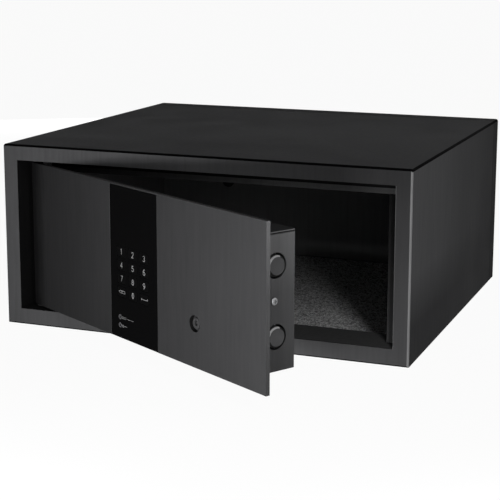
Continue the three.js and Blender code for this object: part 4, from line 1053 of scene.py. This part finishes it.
def override_plug():
    """The plug of the override lock: a round keyway with a post in its middle and a notch above it."""
    low, high = shut_box("override_plug")
    length = high.y - low.y
    radius = (high.x - low.x) / 2
    floor_level = length - KEYWAY_DEPTH
    post_level = length - POST_BELOW
    profile = [(0, 0), (radius, 0), *rounded_rim(radius, length, LOCK_ROUNDING),
               (KEYWAY + KEYWAY_CHAMFER, length), (KEYWAY, length - KEYWAY_CHAMFER),
               (KEYWAY, floor_level), (POST, floor_level),
               (POST, post_level - POST_CHAMFER_DEPTH), (POST - POST_CHAMFER, post_level), (0, post_level)]
    item, matrix = turned("override_plug", profile, FACING_FRONT, LOCK_FACE)
    notch_top = (POST / 2, KEYWAY + KEYWAY_NOTCH, length + CUT_BEYOND)
    carve_block(item, (-POST / 2, POST, floor_level), notch_top, matrix)


override_plug()

PLUG_OVERLAP = 3 * MM
PLUG_HEAD_HEIGHT = 1.5 * MM
PLUG_ROUNDING = 0.9 * MM
PLUG_STEM_CHAMFER = 0.4 * MM
PLUG_UNDERCUT = 0.2 * MM
PLUG_UNDERCUT_HEIGHT = 0.3 * MM


def rubber_plug(node, axes):
    """A push-in plug: a stem that fills the hole and a domed head."""
    low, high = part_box(node)
    length = abs((high - low).dot(way_of(axes)))
    seat = length - PLUG_HEAD_HEIGHT
    head = (high.x - low.x) / 2
    stem = head - PLUG_OVERLAP
    profile = [(0, 0), (stem - PLUG_STEM_CHAMFER, 0), (stem, PLUG_STEM_CHAMFER), (stem, seat),
               (head - PLUG_UNDERCUT, seat), (head, seat + PLUG_UNDERCUT_HEIGHT),
               *rounded_rim(head, length, PLUG_ROUNDING), (0, length)]
    turned(node, profile, axes)


for node in ("base_plug_left", "base_plug_right"):
    rubber_plug(node, Matrix())
for node in ("back_plug_left", "back_plug_right"):
    rubber_plug(node, FACING_FRONT)


# Numerals and marks

PRINT_THICKNESS = 0.04 * MM
DIGIT_HEIGHT = 5.0 * MM
DIGIT_WIDTH_SHARE = 0.6
DIGIT_PEN = 0.52 * MM
MARK_PEN = 0.36 * MM
CLOSED_WITHIN = 0.01 * MM
MITRE_LIMIT = 0.4


def oval(x, y, across, upward, start, end, steps=20):
    """Points along an oval from one angle to another, in degrees."""
    points = []
    for i in range(steps + 1):
        angle = math.radians(start + (end - start) * i / steps)
        points.append((x + across * math.cos(angle), y + upward * math.sin(angle)))
    return points


# Each numeral's strokes, in a cell that is DIGIT_WIDTH_SHARE wide and 1 high
SIX = [oval(0.31, 0.31, 0.28, 0.31, 0, 360), oval(0.42, 0.36, 0.39, 0.64, 180, 75)]
NUMERALS = {
    "1": [[(0.12, 0.8), (0.34, 1.0), (0.34, 0.0)]],
    "2": [oval(0.3, 0.72, 0.27, 0.28, 170, -35) + [(0.03, 0.0), (0.59, 0.0)]],
    "3": [oval(0.28, 0.75, 0.24, 0.25, 160, -90) + oval(0.28, 0.25, 0.28, 0.25, 90, -160)],
    "4": [[(0.44, 0.0), (0.44, 1.0), (0.02, 0.3), (0.6, 0.3)]],
    "5": [[(0.54, 1.0), (0.12, 1.0), (0.08, 0.55)] + oval(0.28, 0.31, 0.29, 0.31, 135, -160)],
    "6": SIX,
    "7": [[(0.03, 1.0), (0.57, 1.0), (0.2, 0.0)]],
    "8": [oval(0.3, 0.76, 0.23, 0.24, 0, 360), oval(0.3, 0.26, 0.28, 0.26, 0, 360)],
    "9": [[(DIGIT_WIDTH_SHARE - x, 1 - y) for x, y in stroke] for stroke in SIX],
    "0": [oval(0.3, 0.5, 0.28, 0.5, 0, 360)],
}


def pen(shape, points, width):
    """Adds one stroke of a pen of even width to a bmesh, with mitred turns and a hair of thickness."""
    path = [Vector(point) for point in points]
    closed = (path[0] - path[-1]).length < CLOSED_WITHIN
    if closed:
        path.pop()
    count = len(path)
    stations = []
    for i, point in enumerate(path):
        before = path[i - 1] if closed or i > 0 else point
        after = path[(i + 1) % count] if closed or i < count - 1 else point
        arriving = (point - before).normalized() if before != point else (after - point).normalized()
        leaving = (after - point).normalized() if after != point else arriving
        across = (arriving + leaving).orthogonal().normalized()
        lean = max(abs(across.dot(arriving.orthogonal())), MITRE_LIMIT)
        half = across * width / 2 / lean
        corners = [(point + half, 0), (point - half, 0),
                   (point - half, PRINT_THICKNESS), (point + half, PRINT_THICKNESS)]
        stations.append([shape.verts.new((place.x, place.y, level)) for place, level in corners])
    for i in range(count if closed else count - 1):
        here = stations[i]
        there = stations[(i + 1) % count]
        for k in range(4):
            shape.faces.new([here[k], here[(k + 1) % 4], there[(k + 1) % 4], there[k]])
    if not closed:
        shape.faces.new(stations[0])
        shape.faces.new(list(reversed(stations[-1])))


def drawing(name, strokes, width, place, material, body):
    """Pen strokes in the plane of the door's face."""
    shape = bmesh.new()
    for stroke in strokes:
        pen(shape, stroke, width)
    piece(name, shape, material, body, DOOR @ Matrix.Translation(place) @ FACING_FRONT)


def numeral(text):
    """The strokes of a numeral about its middle."""
    middle_x = DIGIT_WIDTH_SHARE / 2
    strokes = []
    for stroke in NUMERALS[text]:
        strokes.append([((x - middle_x) * DIGIT_HEIGHT, (y - 0.5) * DIGIT_HEIGHT) for x, y in stroke])
    return strokes


def delete_mark(length, height):
    """A long tag with a point at its left and a small cross in it."""
    left = -length / 2
    half = height / 2
    cross = half * 0.45
    tag = [(left, 0), (left + height, half), (-left, half), (-left, -half), (left + height, -half), (left, 0)]
    return [tag, [(-cross, -cross), (cross, cross)], [(-cross, cross), (cross, -cross)]]


def return_mark(length, height):
    """A long arrow that comes down and turns left."""
    left = -length / 2
    half = height / 2
    shaft = [(-left, height), (-left, 0), (left, 0)]
    tip = [(left + height, half), (left, 0), (left + height, -half)]
    return [shaft, tip]


def battery_mark(length, height):
    """A long battery with three level bars, and a plain bar beside it."""
    half = height / 2
    cell = length * 0.34
    gap = height * 0.6
    level = half * 0.5
    case = [(0, -half), (0, half), (cell, half), (cell, -half), (0, -half)]
    levels = [[(cell * share, -level), (cell * share, level)] for share in (0.2, 0.4, 0.6)]
    return [case, *levels, [(cell + gap, 0), (length, 0)]]


def padlock_mark(length, height):
    """A small padlock, and a short bar beside it."""
    half = height / 2
    wide = height * 1.1
    top = height * 0.1
    gap = height * 0.5
    lock = [(0, -half), (0, top), (wide, top), (wide, -half), (0, -half)]
    shackle = oval(wide / 2, top, wide * 0.32, height * 0.45, 180, 0, steps=10)
    return [lock, shackle, [(wide + gap, 0), (length, 0)]]


KEY_MARKS = {"clear": delete_mark(9.8 * MM, 2.3 * MM), "enter": return_mark(10.4 * MM, 1.6 * MM)}
LIGHT_MARKS = {"light_pin_upper": battery_mark(19 * MM, 1.7 * MM),
               "light_pin_lower": padlock_mark(8.4 * MM, 1.9 * MM)}
MARK_FROM_PIN = 1.2 * MM

for key in KEYS:
    low, high = shut_box(f"key_{key}")
    front = Vector(((low.x + high.x) / 2, low.y, (low.z + high.z) / 2))
    body = BODY_OF[f"key_{key}"]
    if key in KEY_MARKS:
        drawing(f"mark_{key}", KEY_MARKS[key], MARK_PEN, front, PRINT, body)
    else:
        drawing(f"digit_{key}", numeral(key), DIGIT_PEN, front, PRINT, body)

for node, strokes in LIGHT_MARKS.items():
    low, high = shut_box(node)
    front = Vector((high.x + MARK_FROM_PIN, low.y, (low.z + high.z) / 2))
    drawing(f"mark_{node}", strokes, MARK_PEN, front, PRINT_DIM, "door")


# Camera

CAMERA_PLACE = Vector((0.5187, -1.3779, 0.3873))
CAMERA_AZIMUTH = math.radians(21.316)
CAMERA_ELEVATION = math.radians(10.722)
CAMERA_ROLL = math.radians(0.096)
CAMERA_LENS = 100.27
CAMERA_SHIFT_Y = -0.1


def camera():
    """The camera that was fitted to the photograph's view of the case."""
    back = Vector((math.sin(CAMERA_AZIMUTH) * math.cos(CAMERA_ELEVATION),
                   -math.cos(CAMERA_AZIMUTH) * math.cos(CAMERA_ELEVATION),
                   math.sin(CAMERA_ELEVATION)))
    level = (-back).cross(Vector((0, 0, 1))).normalized()
    upright = back.cross(level)
    right = math.cos(CAMERA_ROLL) * level + math.sin(CAMERA_ROLL) * upright
    up = math.cos(CAMERA_ROLL) * upright - math.sin(CAMERA_ROLL) * level
    data = bpy.data.cameras.new("camera")
    data.lens = CAMERA_LENS
    data.shift_y = CAMERA_SHIFT_Y
    item = bpy.data.objects.new("camera", data)
    item.matrix_world = Matrix.Translation(CAMERA_PLACE) @ Matrix((right, up, back)).transposed().to_4x4()
    bpy.context.scene.collection.objects.link(item)
    bpy.context.scene.camera = item


camera()


# Floor, world and lights

FLOOR_SIZE = 40.0
FLOOR_GREY = 0.85
FLOOR_GLOW = 0.95
WORLD_LEVEL = 0.04
WHITE = (1, 1, 1, 1)


def background_ray(tree):
    """1 for the rays that see the background: camera, glossy and transmission rays."""
    path = tree.nodes.new("ShaderNodeLightPath")
    total = path.outputs["Is Camera Ray"]
    for name in ("Is Glossy Ray", "Is Transmission Ray"):
        either = tree.nodes.new("ShaderNodeMath")
        either.operation = "MAXIMUM"
        tree.links.new(total, either.inputs[0])
        tree.links.new(path.outputs[name], either.inputs[1])
        total = either.outputs["Value"]
    return total


def floor():
    """A wide grey floor that glows almost white where it is seen."""
    material, tree = new_tree("floor")
    tree.nodes.clear()
    output = tree.nodes.new("ShaderNodeOutputMaterial")
    plain = add_node(tree, "ShaderNodeBsdfDiffuse", Color=(FLOOR_GREY, FLOOR_GREY, FLOOR_GREY, 1))
    glow = add_node(tree, "ShaderNodeEmission", Color=WHITE, Strength=1.0)
    share = tree.nodes.new("ShaderNodeMath")
    share.operation = "MULTIPLY"
    share.inputs[1].default_value = FLOOR_GLOW
    tree.links.new(background_ray(tree), share.inputs[0])
    mixed = tree.nodes.new("ShaderNodeMixShader")
    tree.links.new(share.outputs["Value"], mixed.inputs["Fac"])
    tree.links.new(plain.outputs["BSDF"], mixed.inputs[1])
    tree.links.new(glow.outputs["Emission"], mixed.inputs[2])
    tree.links.new(mixed.outputs["Shader"], output.inputs["Surface"])
    shape = bmesh.new()
    bmesh.ops.create_grid(shape, x_segments=1, y_segments=1, size=FLOOR_SIZE / 2)
    mesh = bpy.data.meshes.new("floor")
    shape.to_mesh(mesh)
    shape.free()
    mesh.materials.append(material)
    item = bpy.data.objects.new("floor", mesh)
    item.location.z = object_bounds()[0].z
    bpy.context.scene.collection.objects.link(item)
    item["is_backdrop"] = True


def world():
    """White where the background is seen, and a low even light for the rest."""
    sky = bpy.data.worlds.new("world")
    sky.use_nodes = True
    tree = sky.node_tree
    light = tree.nodes["Background"]
    light.inputs["Color"].default_value = WHITE
    strength = between(tree, background_ray(tree), WORLD_LEVEL, 1.0, 0.0, 1.0)
    tree.links.new(strength, light.inputs["Strength"])
    bpy.context.scene.world = sky


# Each lamp: name, where it stands, what it is aimed at, its width and height, its power in watts
LAMPS = [
    ("lamp_key", (0.84, -1.26, 0.96), (0.05, -0.1, 0.09), 0.2, 1.2, 5.8),
    ("lamp_low_front", (0.0, -0.73, 0.062), (0.0, -0.1, 0.09), 0.3, 0.105, 2.5),
    ("lamp_low_corner", (0.32, -0.5, 0.05), (0.0, -0.1, 0.09), 0.2, 0.08, 0.16),
    ("lamp_right", (1.3, -0.1, 0.7), (0.0, -0.1, 0.09), 0.6, 0.6, 2.1),
    ("lamp_behind", (-0.8, 1.35, 0.06), (0.0, 0.1, 0.09), 0.8, 0.08, 6.0),
]


def lamp(name, place, aim, width, height, power):
    """An oblong lamp that is turned to what it is aimed at."""
    data = bpy.data.lights.new(name, "AREA")
    data.shape = "RECTANGLE"
    data.size = width
    data.size_y = height
    data.energy = power
    item = bpy.data.objects.new(name, data)
    item.location = place
    item.rotation_euler = (Vector(aim) - Vector(place)).to_track_quat("-Z", "Y").to_euler()
    bpy.context.scene.collection.objects.link(item)


floor()
world()
for settings in LAMPS:
    lamp(*settings)

bpy.context.scene.view_settings.view_transform = "Standard"
